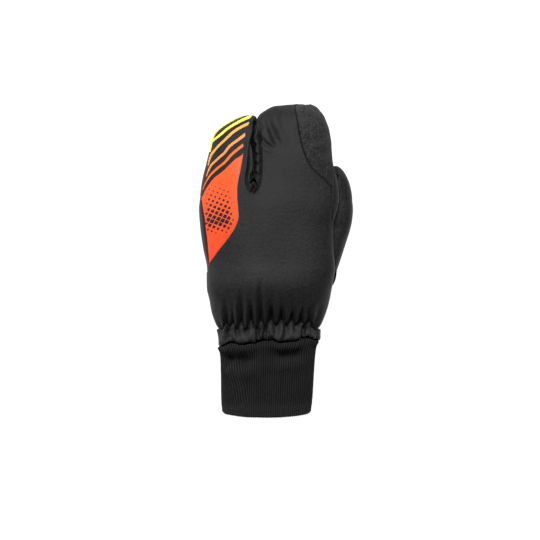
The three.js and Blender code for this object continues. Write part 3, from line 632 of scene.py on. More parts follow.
def edge_distance(points, column):
    """How far a grid's points lie from its first or last column, measured across each row."""
    return np.linalg.norm(points - points[:, [column]], axis=-1)


ring_tip = CLAWS["ring"]["tip"][1] * HAND_LENGTH
index_tip = CLAWS["index"]["tip"][1] * HAND_LENGTH
gusset_y = stops(GUSSET_START, (GUSSET_ROUND, 14, True, False), (ring_tip, 30, False, False))
gusset_seams = np.concatenate([
    seam_line(gusset_seam("ring", gusset_y), gusset_y)[::-1],
    seam_line(gusset_seam("index", gusset_y), gusset_y)[1:],
])
suede_y = np.linspace(SUEDE_START, index_tip, 40)
suede_line = seam_line(suede_seam(suede_y), suede_y)


def gusset_groove(x, y):
    """How far the cloth turns in along the gusset's seam: deep beside the slit, shallow below."""
    s = y / HAND_LENGTH
    beside = smooth((s - 0.635) / 0.05) * (1 - smooth((s - 0.86) / 0.06))
    left = np.where(x < fork_line(y), 1, 0.6)
    depth = mix(1.0, 3.2, beside * left) * (1 - smooth((s - 0.89) / 0.04))
    return seam_dip(line_distance(x, y, gusset_seams), depth, 0.9)


def hand_stops(claw, fine=1.0):
    """Places along the hand, closer together at the cinch, round the slit's end and at the tip."""
    tip = ring_tip if claw == "ring" else index_tip
    counts = [round(n * fine) for n in (22, 104, 16, 34, 84 if claw == "ring" else 98)]
    return stops(
        0, (10 * MM, counts[0], True, False), (100 * MM, counts[1], False, False),
        (GUSSET_START, counts[2], False, True), (CROTCH_AT, counts[3], True, True),
        (tip, counts[4], True, True),
    )


def back_half(claw):
    """One claw's half of the back, from the gathered edge to the tip."""
    rows = hand_stops(claw)
    side, inner = side_seam(claw, rows), gusset_seam(claw, rows)
    if claw == "ring":
        left, right = side, inner
        t = shares(0.1, 9, 0.9, 46, 9)
    else:
        left, right = inner, np.where(rows < SUEDE_START, side, suede_seam(rows))
        t = shares(0.06, 8, 0.94, 84, 9)
    x, y = spread(left, np.maximum(right, left), rows, t)
    from_side = edge_distance(bare_skin(True, x, y), 0 if claw == "ring" else -1)
    from_side = from_side + 20 * MM * smooth((y - SUEDE_START) / (2 * MM)) * (claw == "index")
    dips = seam_dip(from_side, 0.7) + gusset_groove(x, y)
    if claw == "index":
        dips += seam_dip(line_distance(x, y, suede_line), 0.9, 0.8)
    points = raised(True, x, y, back_relief(x, y) + dips)
    points[..., 1] += cinch_line(x) * (1 - smooth(y / (24 * MM)))
    return points


softshell = softshell_finish("softshell", 0.003, 0.014)
back_panel = thicken(skin("back_of_hand", back_half("ring"), back_half("index")), CLOTH)
stand_for(back_panel, "back_panel", softshell)

# The suede over the index finger, soft enough to wipe a nose with.
# Brushed synthetic suede, sewn to the back along a curved seam with its nap left uneven.
SUEDE_LIFT = 0.25 * MM  # it is that much thicker than the softshell


def suede_grid():
    """The suede from its lower corner to the claw's tip, between its two seams."""
    rows = stops(SUEDE_START, (index_tip, 130, True, True))
    t = shares(0.12, 8, 0.84, 44, 12)
    x, y = spread(suede_seam(rows), side_seam("index", rows), rows, t)
    dips = seam_dip(edge_distance(bare_skin(True, x, y), -1), 0.5) + gusset_groove(x, y)
    dips += seam_dip(line_distance(x, y, suede_line), 0.7, 0.7)
    nap = padding_relief(x, y, 8, 0.12 * MM, 7 * MM)
    return raised(True, x, y, back_relief(x, y) + dips + nap + SUEDE_LIFT)


def suede_finish():
    """Brushed suede: a matt nap whose fibres lie in two directions, so that it is mottled."""
    paint = Paint("brushed_suede", Specular_IOR_Level=0.15, Sheen_Weight=0.06, Sheen_Roughness=0.6)
    nap = paint.noise(1.05 * MM, 3, 0.65)
    patches = paint.noise(6 * MM, 3, 0.6)
    along = paint.parts(paint.place())[1]
    # The nap's colour grows lighter towards the claw's tip.
    lighter_to_tip = along.rise(58 * MM, 140 * MM)
    tone = (nap - 0.5) * 4.0 + (patches - 0.5) * 1.0 + lighter_to_tip * 0.55 + 0.2
    paint.feed("Base Color", paint.blend(tone, grey(0.004), grey(0.047)))
    paint.feed("Roughness", 0.82 + nap * 0.15)
    paint.bump(nap, 0.5 * MM, 0.7)
    return paint.material


index_suede = thicken(skin("suede_on_index", suede_grid()), CLOTH)
stand_for(index_suede, "index_suede", suede_finish())

# The palm.
# Close-woven palm cloth, which comes round the rim to the back's two side seams. The mitt's
# weight flattens it below, and it lifts off the table over the thumb.


def palm_half(claw):
    """One claw's half of the palm: over the rim from the back's seam, then round underneath."""
    rows = hand_stops(claw, 0.6)
    seam, outer = side_seam(claw, rows), claw_edge(claw, "outer", rows)
    over_t = stops(0, (1, 14, False, True))
    under_t = shares(0.2, 12, 0.92, 26, 6)
    over_x, over_y = spread(seam, outer, rows, over_t)
    under_x, under_y = spread(outer, gusset_seam(claw, rows), rows, under_t)
    over, under = bare_skin(True, over_x, over_y), bare_skin(False, under_x, under_y)
    whole = np.concatenate([over, under[:, 1:]], axis=1)
    over_dips, under_dips = np.split(seam_dip(edge_distance(whole, 0), 0.5), [len(over_t)], axis=1)
    under_dips = np.concatenate([over_dips[:, -1:], under_dips], axis=1)
    under_dips = under_dips + seam_dip(line_distance(under_x, under_y, gusset_seams), 1.0, 0.8)
    soft = padding_relief(under_x, under_y, 5, 0.25 * MM, 30 * MM)
    over = raised(True, over_x, over_y, over_dips)
    under = raised(False, under_x, under_y, under_dips - np.abs(soft))
    over[:, -1] = under[:, 0]
    stops_at_rim = np.abs(seam - outer) < 0.05 * MM
    over = np.where(stops_at_rim[:, None, None], under[:, :1], over)
    whole = above_table(np.concatenate([over, under[:, 1:]], axis=1))
    return whole if claw == "index" else whole[:, ::-1]


palm_cloth = softshell_finish("palm_cloth", 0.003, 0.011)
palm = thicken(skin("palm_of_hand", palm_half("ring"), palm_half("index")), CLOTH)
stand_for(palm, "palm_panel", palm_cloth)

# The gusset between the claws.
# A strip of softshell sewn into the slit. On the back it puffs out as a roll beside the slit, and
# its rounded end lies puckered on the hand.
GUSSET_CLOTH = 1.2 * MM
GUSSET_END = 0.975 * HAND_LENGTH
ROLL_HEIGHT = {"ring": 1.9 * MM, "index": 1.2 * MM}  # of the puff on either side of the slit
SLIT_DEPTH = 5.4 * MM  # how deep the roll turns down at the slit, over this width from its edge
SLIT_WIDTH = 0.95 * MM
PUCKERS = [
    (1.0, (-0.108, 0.632, 3.2), (-0.088, 0.6495, 4.6), (-0.06, 0.618, 3.6)),
    (1.0, (-0.0985, 0.597, 3.8), (-0.086, 0.617, 3.6)),
    (1.0, (-0.072, 0.806, 1.8), (-0.048, 0.802, 1.0)),
    (1.0, (-0.072, 0.767, 1.9), (-0.05, 0.758, 1.1)),
    (1.0, (-0.072, 0.727, 1.9), (-0.048, 0.715, 1.1)),
    (1.1, (-0.07, 0.678, 1.8), (-0.042, 0.655, 1.2)),
]


def gusset_strip(top, claw):
    """One side of the gusset from its seam to the slit, on the back or on the underside. Its rows
    are the back's, so that their edges meet."""
    rows = hand_stops(claw)
    rows = rows[(rows >= GUSSET_START - ROUNDING) & (rows <= GUSSET_END)]
    seam = gusset_seam(claw, rows)
    towards_slit = np.maximum if claw == "ring" else np.minimum
    edge = towards_slit(fork_line(rows), seam)
    edge = np.where(past_slit(rows), claw_edge(claw, "fork", rows), edge)
    t = shares(0.3, 8, 0.7, 10, 12)
    x, y = spread(seam, edge, rows, t)
    dips = gusset_groove(x, y)
    if top:
        in_slit = smooth((y - CROTCH_AT) / (6 * MM)) * (1 - smooth((y - 0.82 * HAND_LENGTH) / (14 * MM)))
        puff = np.sin(np.pi * np.clip(t, 0, 1)) ** 1.5 * ROLL_HEIGHT[claw] * in_slit
        opening = SLIT_WIDTH + 0.9 * MM * smooth((y / HAND_LENGTH - 0.82) / 0.03)
        drop = -SLIT_DEPTH * np.exp(-((np.abs(edge[:, None] - x) / opening) ** 2)) * in_slit
        relief = back_relief(x, y) + puff + fold_relief(x, y, PUCKERS) + dips + drop
    else:
        relief = dips * 0.6
    points = raised(top, x, y, relief)
    apart = past_slit(rows)[:, None]
    if not top:
        deep = 1 - points[..., 2] / np.maximum(rim_height(x, y), 1 * MM)
        points[..., 0] += np.where(apart, 1.2 * MM * np.sin(np.pi * np.clip(deep, 0, 1)), 0)
    on_rim = np.stack([edge, rows, rim_height(edge, rows)], axis=-1)
    points[:, -1] = np.where(apart, on_rim, points[:, -1])
    points = above_table(points)
    return points if top == (claw == "ring") else points[:, ::-1]


gusset_strips = [gusset_strip(top, claw) for top in (True, False) for claw in CLAWS]
gusset = thicken(skin("gusset_in_slit", *gusset_strips), GUSSET_CLOTH)
stand_for(gusset, "fork_gusset", softshell)

# The thumb.
# A pouch of softshell of its own, sewn to the palm. The hand lies on it and presses it flat.
THUMB_LENGTH = 110.8 * MM
THUMB_DEPTH = 24 * MM
THUMB_BASE_AT = 32.4 * MM
THUMB_GAP = 0.7 * MM  # between the palm and the thumb that it lies on
THUMB_OUTER_ROUND = 0.724  # shares of THUMB_LENGTH from where the two edges close to the tip
THUMB_INNER_ROUND = 0.7
# Columns: share of THUMB_LENGTH, inner and outer edge as shares of PALM_WIDTH, height of the top
# and of the rim as shares of THUMB_DEPTH.
THUMB_ROWS = np.array([
    (0.000, 0.440, 0.446, 0.70, 0.60), (0.040, 0.450, 0.490, 0.78, 0.57),
    (0.080, 0.450, 0.512, 0.84, 0.54), (0.160, 0.427, 0.541, 0.91, 0.50),
    (0.240, 0.409, 0.566, 0.96, 0.47), (0.400, 0.393, 0.614, 1.00, 0.45),
    (0.483, 0.390, 0.638, 1.00, 0.45), (0.563, 0.390, 0.653, 1.00, 0.45),
    (0.644, 0.392, 0.659, 0.99, 0.45), (0.724, 0.397, 0.653, 0.97, 0.45),
    (1.000, 0.400, 0.640, 0.90, 0.45),
])
THUMB_TIP_X = 0.530 * PALM_WIDTH
THUMB_FOLDS = [
    (1.3, (0.522, 0.7, 0.8), (0.537, 0.668, 1.3)),
    (1.3, (0.537, 0.668, 1.3), (0.552, 0.57, 0.2)),
    (2.2, (0.575, 0.64, 0.5), (0.585, 0.59, 0.1)),
    (4, (0.56, 0.44, 0.6), (0.6, 0.52, 0.1)),
]
thumb_inner, thumb_outer, thumb_top, thumb_rim = (curve(THUMB_ROWS, i) for i in range(1, 5))


def thumb_ring(count, rows):
    """The thumb's pouch as a closed tube: a flattened oval along its table that closes to a tip,
    cut off above where the palm lies on it and below by the table."""
    v = stops(0, (0.5, rows // 2, True, False), (1, rows // 2, False, True))
    s = v[:, None]
    outer = thumb_outer(np.minimum(s, THUMB_OUTER_ROUND)) * PALM_WIDTH
    inner = thumb_inner(np.minimum(s, THUMB_INNER_ROUND)) * PALM_WIDTH
    outer = mix(THUMB_TIP_X, outer, cap((s - THUMB_OUTER_ROUND) / (1 - THUMB_OUTER_ROUND), 1.75))
    inner = mix(THUMB_TIP_X, inner, cap((s - THUMB_INNER_ROUND) / (1 - THUMB_INNER_ROUND), 2))
    start = np.sqrt(smooth(s / 0.05))
    turn = np.linspace(0, 2 * np.pi, count + 1)
    across = -np.cos(turn)
    top = turn < np.pi
    middle, half = (inner + outer) / 2, (outer - inner) / 2 * start
    x = middle + half * across
    y = THUMB_BASE_AT + s * THUMB_LENGTH + 0 * x
    roundness = cap(np.abs(across), 2.3) * cap((s - 0.8) / 0.2, TIP_ROUNDNESS) * start
    rim = thumb_rim(s) * THUMB_DEPTH
    above = rim + (thumb_top(s) * THUMB_DEPTH - rim) * roundness
    below = np.maximum(0, rim - (rim + RIM_FLATTENING) * roundness)
    folds = fold_relief(x, y, THUMB_FOLDS) + padding_relief(x, y, 11, 0.3 * MM, 26 * MM)
    above = above + folds * smooth((above - rim) / (4 * MM))
    over = hand_height(False, x, y) - THUMB_GAP
    covered = x < claw_edge("index", "outer", y)
    above = np.where(covered, np.minimum(above, np.maximum(over, rim * 0.6)), above)
    return np.stack([x, y, np.where(top, above, below) + 0 * x], axis=-1)


thumb = thicken(skin("thumb", thumb_ring(96, 120)), CLOTH)
stand_for(thumb, "thumb_pouch", softshell)

# The print on the little finger's side.
# Rubbery film pressed onto the softshell: a kite-shaped field, and four bands that wave down to
# the side seam above it, from orange to yellow.
FILM = 0.35 * MM
FILM_EDGE = 0.1 * MM  # how far its pressed edge stands above the softshell
# The field's outline: share of HAND_LENGTH, place as a share of PALM_WIDTH.
FIELD_RIGHT = np.array([
    (0.262, -0.421), (0.297, -0.390), (0.400, -0.260), (0.444, -0.218), (0.484, -0.200),
    (0.525, -0.204), (0.561, -0.209), (0.606, -0.210), (0.643, -0.202), (0.698, -0.183),
    (0.766, -0.167),
])
FIELD_TOP = np.array([
    (0.527, -0.521), (0.574, -0.471), (0.601, -0.451), (0.630, -0.421), (0.657, -0.384),
    (0.685, -0.320), (0.712, -0.272), (0.741, -0.221), (0.766, -0.167),
])
# Each band's middle from its right end to its left, as shares of PALM_WIDTH and HAND_LENGTH.
BANDS = [
    [(-0.162, 0.804), (-0.205, 0.784), (-0.257, 0.757), (-0.302, 0.726), (-0.361, 0.699),
     (-0.411, 0.671), (-0.441, 0.643), (-0.467, 0.606)],
    [(-0.147, 0.852), (-0.200, 0.828), (-0.266, 0.798), (-0.306, 0.768), (-0.361, 0.740),
     (-0.411, 0.712), (-0.431, 0.685), (-0.4425, 0.664)],
    [(-0.119, 0.902), (-0.184, 0.884), (-0.237, 0.864), (-0.304, 0.826), (-0.364, 0.792),
     (-0.409, 0.760), (-0.424, 0.735), (-0.430, 0.7135)],
    [(-0.097, 0.937), (-0.176, 0.917), (-0.236, 0.898), (-0.287, 0.878), (-0.338, 0.850),
     (-0.389, 0.826), (-0.413, 0.810), (-0.431, 0.795)],
]
BAND_WIDTH = 2.6 * MM
TIP_EDGE_WIDTH = 1.1 * MM
LOZENGE_PITCH = 4.6 * MM


def film_points(x, y, across):
    """Film on the back at x, y, with its edge at across = 0 and 1 pressed down."""
    pressed = (2 * across - 1) ** 8
    return raised(True, x, y, back_relief(x, y) + FILM * (1 - pressed) + FILM_EDGE)


def field_grid():
    """The field, row by row between the side seam or its upper edge and its right edge."""
    s = stops(0.2635, (0.7655, 170, False, False))
    rows = s * HAND_LENGTH
    right, top = curve(FIELD_RIGHT, 1)(s) * PALM_WIDTH, curve(FIELD_TOP, 1)(s) * PALM_WIDTH
    left = np.minimum(np.maximum(side_seam("ring", rows) + 0.7 * MM, top), right)
    t = stops(0, (0.15, 10, True, False), (1, 56, False, True))
    x, y = spread(left, right, rows, t)
    return film_points(x, y, t + 0 * x)


def band_grid(middle):
    """A band: a smooth line through its middle's points, with a narrowing width on either side,
    cut off where it reaches the side seam."""
    rows = np.array([(i, *place) for i, place in enumerate(middle)])
    line_x, line_y = curve(rows, 1), curve(rows, 2)
    w = np.linspace(-1, 1, 11)

    def plan(t):
        x, y = line_x(t) * PALM_WIDTH, line_y(t) * HAND_LENGTH
        on = t + 0.05
        along_x, along_y = line_x(on) * PALM_WIDTH - x, line_y(on) * HAND_LENGTH - y
        taper = mix(0.54, 0.42, smooth(t / 5)) * (1 - 0.75 * smooth((t - 4.5) / 2.5))
        half = taper * BAND_WIDTH / np.hypot(along_x, along_y)
        return x + along_y * half * w, y - along_x * half * w

    t = np.linspace(0, len(middle) - 1.06, 900)[:, None]
    x, y = plan(t)
    past = x < side_seam("ring", y) + 0.5 * MM
    end = np.where(past.any(axis=0), t[np.argmax(past, axis=0), 0], t[-1, 0])
    start = 0.2 * (1 - w)
    share = stops(0, (0.7, 70, False, False), (1, 40, False, True))[:, None]
    x, y = plan(mix(start, end, share))
    return film_points(x, y, (w + 1) / 2 + 0 * x)[::-1].transpose(1, 0, 2)


def tip_edge_grid():
    """The yellow film's edge, which shows as a thin line along the claw's side up to its tip."""
    rows = np.linspace(0.775, 0.936, 120) * HAND_LENGTH
    t = np.linspace(0, 1, 7)
    inner = side_seam("ring", rows) + 0.15 * MM
    x, y = spread(inner, inner + TIP_EDGE_WIDTH, rows, t)
    return film_points(x, y, t + 0 * x)


def film_finish(name, low_colour, high_colour, low_y, high_y, lozenges=False):
    """Rubbery film: strong colour that shades along the mitt, with a satin gloss. On the field,
    black lozenges shrink away towards the tip."""
    paint = Paint(name, Specular_IOR_Level=0.16)
    across, along = paint.parts(paint.place())[:2]
    grain = paint.noise(0.9 * MM, 2)
    shade = along.rise(low_y, high_y) + (grain - 0.5) * 0.25
    colour = paint.blend(shade, low_colour, high_colour)
    if lozenges:
        first = ((across * 0.42 + along) / LOZENGE_PITCH).math("FRACT") - 0.5
        second = ((across - along * 0.55) / LOZENGE_PITCH).math("FRACT") - 0.5
        size = 0.43 - along.rise(36 * MM, 74 * MM) * 0.4 - along.rise(34 * MM, 20 * MM) * 0.45
        size = size - across.rise(-42 * MM, -34 * MM) * 0.45 - across.rise(-60 * MM, -66 * MM) * 0.45
        ink = (first.math("ABSOLUTE").math("MAXIMUM", second.math("ABSOLUTE")) - size).rise(0.03, -0.03)
        colour = paint.blend(ink, colour, grey(0.014))
    paint.feed("Base Color", colour)
    paint.feed("Roughness", 0.36 + grain * 0.14)
    paint.bump(grain, 0.05 * MM, 0.4)
    return paint.material


def film_piece(name, node, slot, finish, *grids):
    """A piece of film on the back, in place of its plain solid."""
    stand_for(thicken(skin(name, *grids), FILM), node, finish)


red_orange, orange = (0.93, 0.072, 0.023, 1), (1.0, 0.125, 0.026, 1)
film_piece(
    "film_field", "print_field", "print_orange",
    film_finish("film_orange", red_orange, orange, -5 * MM, 95 * MM, lozenges=True), field_grid(),
)
BAND_COLOURS = [
    ((1.0, 0.17, 0.025, 1), (1.0, 0.2, 0.03, 1)), ((1.0, 0.30, 0.08, 1), (1.0, 0.36, 0.12, 1)),
    ((1.0, 0.38, 0.06, 1), (1.0, 0.47, 0.12, 1)), ((1.0, 0.88, 0.07, 1), (1.0, 0.95, 0.14, 1)),
]
for number, (middle, (low_colour, high_colour)) in enumerate(zip(BANDS, BAND_COLOURS), start=1):
    film_piece(
        f"film_band_{number}", f"print_band_{number}", "print_amber" if number < 3 else "print_yellow",
        film_finish(f"film_{number}", low_colour, high_colour, 60 * MM, 125 * MM),
        *([band_grid(middle)] if number < 4 else [band_grid(middle), tip_edge_grid()]),
    )

# The gathered hem.
# A ring of softshell between the cinch and the cuff. The elastic draws it into pleats, whose tips
# stand up into the creases of the back.
HEM_CLOTH = 1.8 * MM
HEM_SINK = 2.2 * MM  # how far the hem's top lies below the back's edge
HEM_BULGE = 2.8 * MM
WRIST_LEFT, WRIST_RIGHT = HAND_ROWS[0, 1] * PALM_WIDTH, HAND_ROWS[0, 2] * PALM_WIDTH
WRIST_MIDDLE, WRIST_HALF = (WRIST_LEFT + WRIST_RIGHT) / 2, (WRIST_RIGHT - WRIST_LEFT) / 2
WRIST_HEIGHT = HAND_ROWS[0, 3] * HAND_DEPTH
WRIST_RIM = HAND_ROWS[0, 4] / HAND_ROWS[0, 3]  # of the height
HEM_SEAM_BELOW = -15.5 * MM  # where the hem ends underneath
# The seam between hem and cuff: place as a share of PALM_WIDTH, and share of HAND_LENGTH.
HEM_SEAM = np.array([
    (-0.371, -0.099), (-0.334, -0.0985), (-0.304, -0.094), (-0.266, -0.082), (-0.236, -0.082),
    (-0.199, -0.0905), (-0.154, -0.0895), (-0.101, -0.083), (-0.026, -0.074), (0.011, -0.068),
    (0.049, -0.069), (0.086, -0.078), (0.124, -0.082), (0.169, -0.077), (0.229, -0.076),
    (0.259, -0.060), (0.341, -0.060), (0.379, -0.067), (0.412, -0.072),
])
HEM_FOLDS = [
    (1.4, (-0.278, -0.018, 0.8), (-0.289, -0.033, 4.0), (-0.297, -0.062, 3.6)),
    (1.9, (-0.268, -0.055, 1.2), (-0.236, -0.08, 0.5)),
    (1.4, (-0.052, -0.022, 0.8), (-0.0615, -0.043, 4.4), (-0.056, -0.07, 4.2), (-0.055, -0.088, 1.6)),
    (1.4, (0.006, -0.011, 0.8), (-0.003, -0.036, 4.4), (-0.008, -0.06, 4.2), (-0.011, -0.08, 1.6)),
    (3.0, (-0.029, -0.03, 1.8), (-0.033, -0.075, 2.6)),
    (2.4, (0.128, -0.02, -0.8), (0.1, -0.066, -1.2)),
    (1.8, (0.154, -0.012, 1.0), (0.15, -0.045, 0.2)),
    (1.8, (-0.214, -0.022, 1.3), (-0.203, -0.048, 0.2)),
    (2.0, (-0.144, -0.024, 1.2), (-0.15, -0.05, 0.1)),
    (1.4, (0.288, -0.012, 2.4), (0.276, -0.058, 2.4)),
    (3.2, (0.302, -0.018, 1.4), (0.302, -0.058, 1.6)),
    (1.1, (0.343, 0.006, 2.2), (0.351, -0.055, 1.6)),
    (1.8, (0.385, -0.012, 1.0), (0.38, -0.062, 1.0)),
]


def wrist_section(count):
    """Places round a flattened oval, evenly by length: x from -1 to 1, and whether they are above
    the rim. They go over the top from the left and come back underneath."""
    turn = np.linspace(0, 2 * np.pi, 4001)
    x = -np.cos(turn)
    above = turn <= np.pi
    height = cap(np.abs(x), BACK_ROUNDNESS) * (1 - WRIST_RIM)
    depth = -np.minimum(1.25 * cap(np.abs(x), PALM_ROUNDNESS), 1) * WRIST_RIM
    z = np.where(above, height, depth) * WRIST_HEIGHT
    length = np.concatenate([[0], np.cumsum(np.hypot(np.diff(x * WRIST_HALF), np.diff(z)))])
    at = np.interp(np.linspace(0, length[-1], count + 1), length, turn)
    return -np.cos(at), at <= np.pi


def wrist_points(across, above, middle, half, height, y):
    """A ring's bare points: the oval of this middle, half width and height, at y."""
    rim = height * WRIST_RIM
    top = rim + (height - rim) * cap(np.abs(across), BACK_ROUNDNESS)
    under = np.maximum(0, rim - (rim + 4 * MM) * cap(np.abs(across), PALM_ROUNDNESS))
    x, y, z = np.broadcast_arrays(middle + half * across, y, np.where(above, top, under))
    return np.stack([x, y, z], axis=-1)


def ring_out(points):
    """The way out of a ring at each point: square to its neighbours round and along it."""
    closed = points[:, :-1]
    around = np.roll(closed, -1, axis=1) - np.roll(closed, 1, axis=1)
    along = np.gradient(closed, axis=0)
    out = np.cross(around, along)
    out /= np.maximum(np.linalg.norm(out, axis=-1, keepdims=True), 1e-12)
    return np.concatenate([out, out[:, :1]], axis=1)


def hem_seam(x):
    """Where hem and cuff meet at x."""
    return np.interp(x / PALM_WIDTH, HEM_SEAM[:, 0], HEM_SEAM[:, 1]) * HAND_LENGTH


def wrist_edge(line, x, across, above, below):
    """An edge that follows a line over the top, and underneath lies at below except by the rim."""
    return np.where(above, line(x), mix(below, line(x), np.abs(across) ** 8))


def hem_ring():
    """The hem: a ring that bulges between its two seams and turns in at both."""
    across, above = wrist_section(760)
    v = shares(0.25, 12, 0.8, 20, 10)[:, None]
    narrowing = 0.9 * MM * (1 - v) + 0.4 * MM * np.sin(np.pi * v)
    half = WRIST_HALF - 1.2 * narrowing
    middle = WRIST_MIDDLE + 0.9 * narrowing
    height = WRIST_HEIGHT - HEM_SINK + HEM_BULGE * np.sin(np.pi * (1 - v) ** 2.5)
    x = middle + half * across
    top_edge = wrist_edge(cinch_line, x, across, above, 0) + 1.2 * MM
    low_edge = wrist_edge(hem_seam, x, across, above, HEM_SEAM_BELOW) - 0.4 * MM
    y = mix(low_edge, top_edge, v)
    bare = wrist_points(across, above, middle, half, height, y)
    inside = np.where(above, smooth((bare[..., 2] - height * WRIST_RIM) / (6 * MM)), 0)
    tips = (0.45 - cinch_puff(x) ** 2) * 2.0 * MM * smooth(v * 2 - 0.9)
    folds = fold_relief(x, y, HEM_FOLDS)
    below = np.where(above, 0, 0.5 * MM * np.sin(across * 46))
    turned = -3 * MM * (1 - smooth((top_edge - y) / (0.9 * MM))) - roll(y - low_edge, 2.6 * MM)
    soft = padding_relief(x, y, 21, 0.25 * MM, 12 * MM)
    relief = (tips + folds + soft) * inside + below + turned
    return above_table(bare + ring_out(bare) * relief[..., None])


# A copy of the softshell whose darkest tone is a little lighter: painted light on the hem.
hem_painted_light_copy = softshell_finish("softshell_painted_light_for_hem", 0.004, 0.014)
hem = thicken(skin("hem_at_the_wrist", hem_ring()), HEM_CLOTH)
stand_for(hem, "gathered_hem", hem_painted_light_copy)

# The cuff.
# One tube of black rib knit, folded in on itself at the free edge and sewn to the hem, where it
# rolls out as a lip. Below the lip the knit has fallen in a little.
CUFF_LENGTH = 64.3 * MM
CUFF_WIDTH = 79 * MM  # at the free edge
CUFF_DEPTH = 28 * MM
CUFF_KNIT = 2.8 * MM
CUFF_EDGE_BOW = 7.8 * MM  # how far the free edge's middle lies beyond its ends
LIP_HEIGHT = 1.4 * MM
LIP_AT = 4.2 * MM  # from the hem's seam
HEM_LENGTH = 15.3 * MM  # from the cinch to where the cuff's length starts
RIB_COUNT = 96
RIB_COLUMNS = 6
RIB_DEPTH = 1.6 * MM
RIB_PITCH = 2.25 * MM
# Slanting wrinkles where the knit is drawn up. Along each of them x + slant * y stays the same.
WRINKLE_SLANT = 0.21
WRINKLE_LINE = -35.71 * MM  # that sum on the middle one
WRINKLE_PITCH = 2.35 * MM
WRINKLE_SWAY = 0.4 * MM  # how far they sway to either side, once in each sway length
WRINKLE_SWAY_LENGTH = 8 * np.pi * MM
# Columns: share of CUFF_LENGTH from the hem, width as a share of CUFF_WIDTH.
CUFF_ROWS = np.array([(0.0, 1.15), (0.1, 1.09), (0.25, 1.065), (0.45, 1.05), (0.8, 1.03), (1.0, 1.0)])
CUFF_FOLDS = [
    (5.0, (-0.35, -0.15, 3.0), (-0.3, -0.165, 5.6)),
    (6.0, (-0.25, -0.164, 6.4), (-0.15, -0.166, 7.6), (-0.08, -0.155, 2.4)),
    (5.0, (0.05, -0.14, 2.8), (0.13, -0.145, 7.0), (0.225, -0.14, 4.8)),
    (4.0, (0.25, -0.13, 0.8), (0.33, -0.13, 0.4)),
    (2.2, (-0.25, -0.19, 0.8), (-0.19, -0.35, 0.8)),
]
cuff_wide = curve(CUFF_ROWS, 1)


def cuff_tube():
    """The cuff as one closed tube: down the inside, round the fold, and up the outside with its
    ribs, one cosine across each."""
    columns = RIB_COUNT * RIB_COLUMNS
    across, above = wrist_section(columns)
    rib = 0.5 + 0.5 * np.cos(2 * np.pi * np.arange(columns + 1) / RIB_COLUMNS)
    fold = CUFF_KNIT / 2
    turn = np.linspace(np.pi, 0, 9)[1:-1]
    down = stops(0.0, (0.98, 26, False, False))
    up = stops(0.985, (0.90, 10, True, False), (0.12, 44, False, False), (0.0, 16, False, True))
    v = np.concatenate([down, 0.985 + 0 * turn, up])[:, None]
    inset = np.concatenate([0 * down + CUFF_KNIT, fold - fold * np.cos(turn), 0 * up])[:, None]
    beyond = np.concatenate([0 * down, fold * np.sin(turn), 0 * up])[:, None]
    outside = np.concatenate([0 * down, 0 * turn + 0.5, 0 * up + 1])[:, None]
    half = cuff_wide(v) * CUFF_WIDTH / 2 - inset
    height = mix(WRIST_HEIGHT - 2.4 * MM, CUFF_DEPTH, v) - inset
    middle = WRIST_MIDDLE - 1.6 * MM * v
    x = middle + half * across
    bow = 0.35 * (1 - np.abs(across) ** 1.4) + 0.65 * cap(np.abs(across), 10) - 0.54
    bow = CUFF_EDGE_BOW * bow * np.where(above, 1, 0.7)
    start = wrist_edge(hem_seam, x, across, above, HEM_SEAM_BELOW) - 0.3 * MM
    y = mix(start, -HEM_LENGTH - CUFF_LENGTH - bow, v) - beyond
    bare = wrist_points(across, above, middle, half, height, y)
    bare[..., 2] += np.where(above, 0, inset)
    far = start - y
    lip = LIP_HEIGHT * np.exp(-(((far - LIP_AT) / (3.4 * MM)) ** 2)) * (1 - across**6)
    lip = lip - roll(far, 2.2 * MM)
    ribs = RIB_DEPTH * (rib - 0.6) * mix(1, 0.45, smooth((v - 0.86) / 0.05))
    hollow = np.where(above, fold_relief(x, y, CUFF_FOLDS), 0) * (1 - across**8)
    slant = x + y * WRINKLE_SLANT
    wrinkled = np.exp(-(((slant - WRINKLE_LINE) / (7 * MM)) ** 4))
    wrinkled = wrinkled * smooth((far - 9 * MM) / (7 * MM)) * (1 - smooth((v - 0.8) / 0.08))
    slant = slant + WRINKLE_SWAY * np.sin(2 * np.pi * y / WRINKLE_SWAY_LENGTH)
    wrinkles = 0.55 * MM * np.sin(2 * np.pi * slant / WRINKLE_PITCH) * wrinkled * above
    edge_band = 0.5 * MM * smooth((v - 0.86) / 0.03)
    soft = padding_relief(x, y, 31, 0.35 * MM, 30 * MM)
    ribs = ribs * (1 - 0.8 * wrinkled)
    relief = lip + ribs + wrinkles + edge_band + soft * above
    relief = relief * outside + hollow * (2 * outside - 1)
    points = above_table(bare + ring_out(bare) * relief[..., None])
    return np.concatenate([points, points[:1]], axis=0)


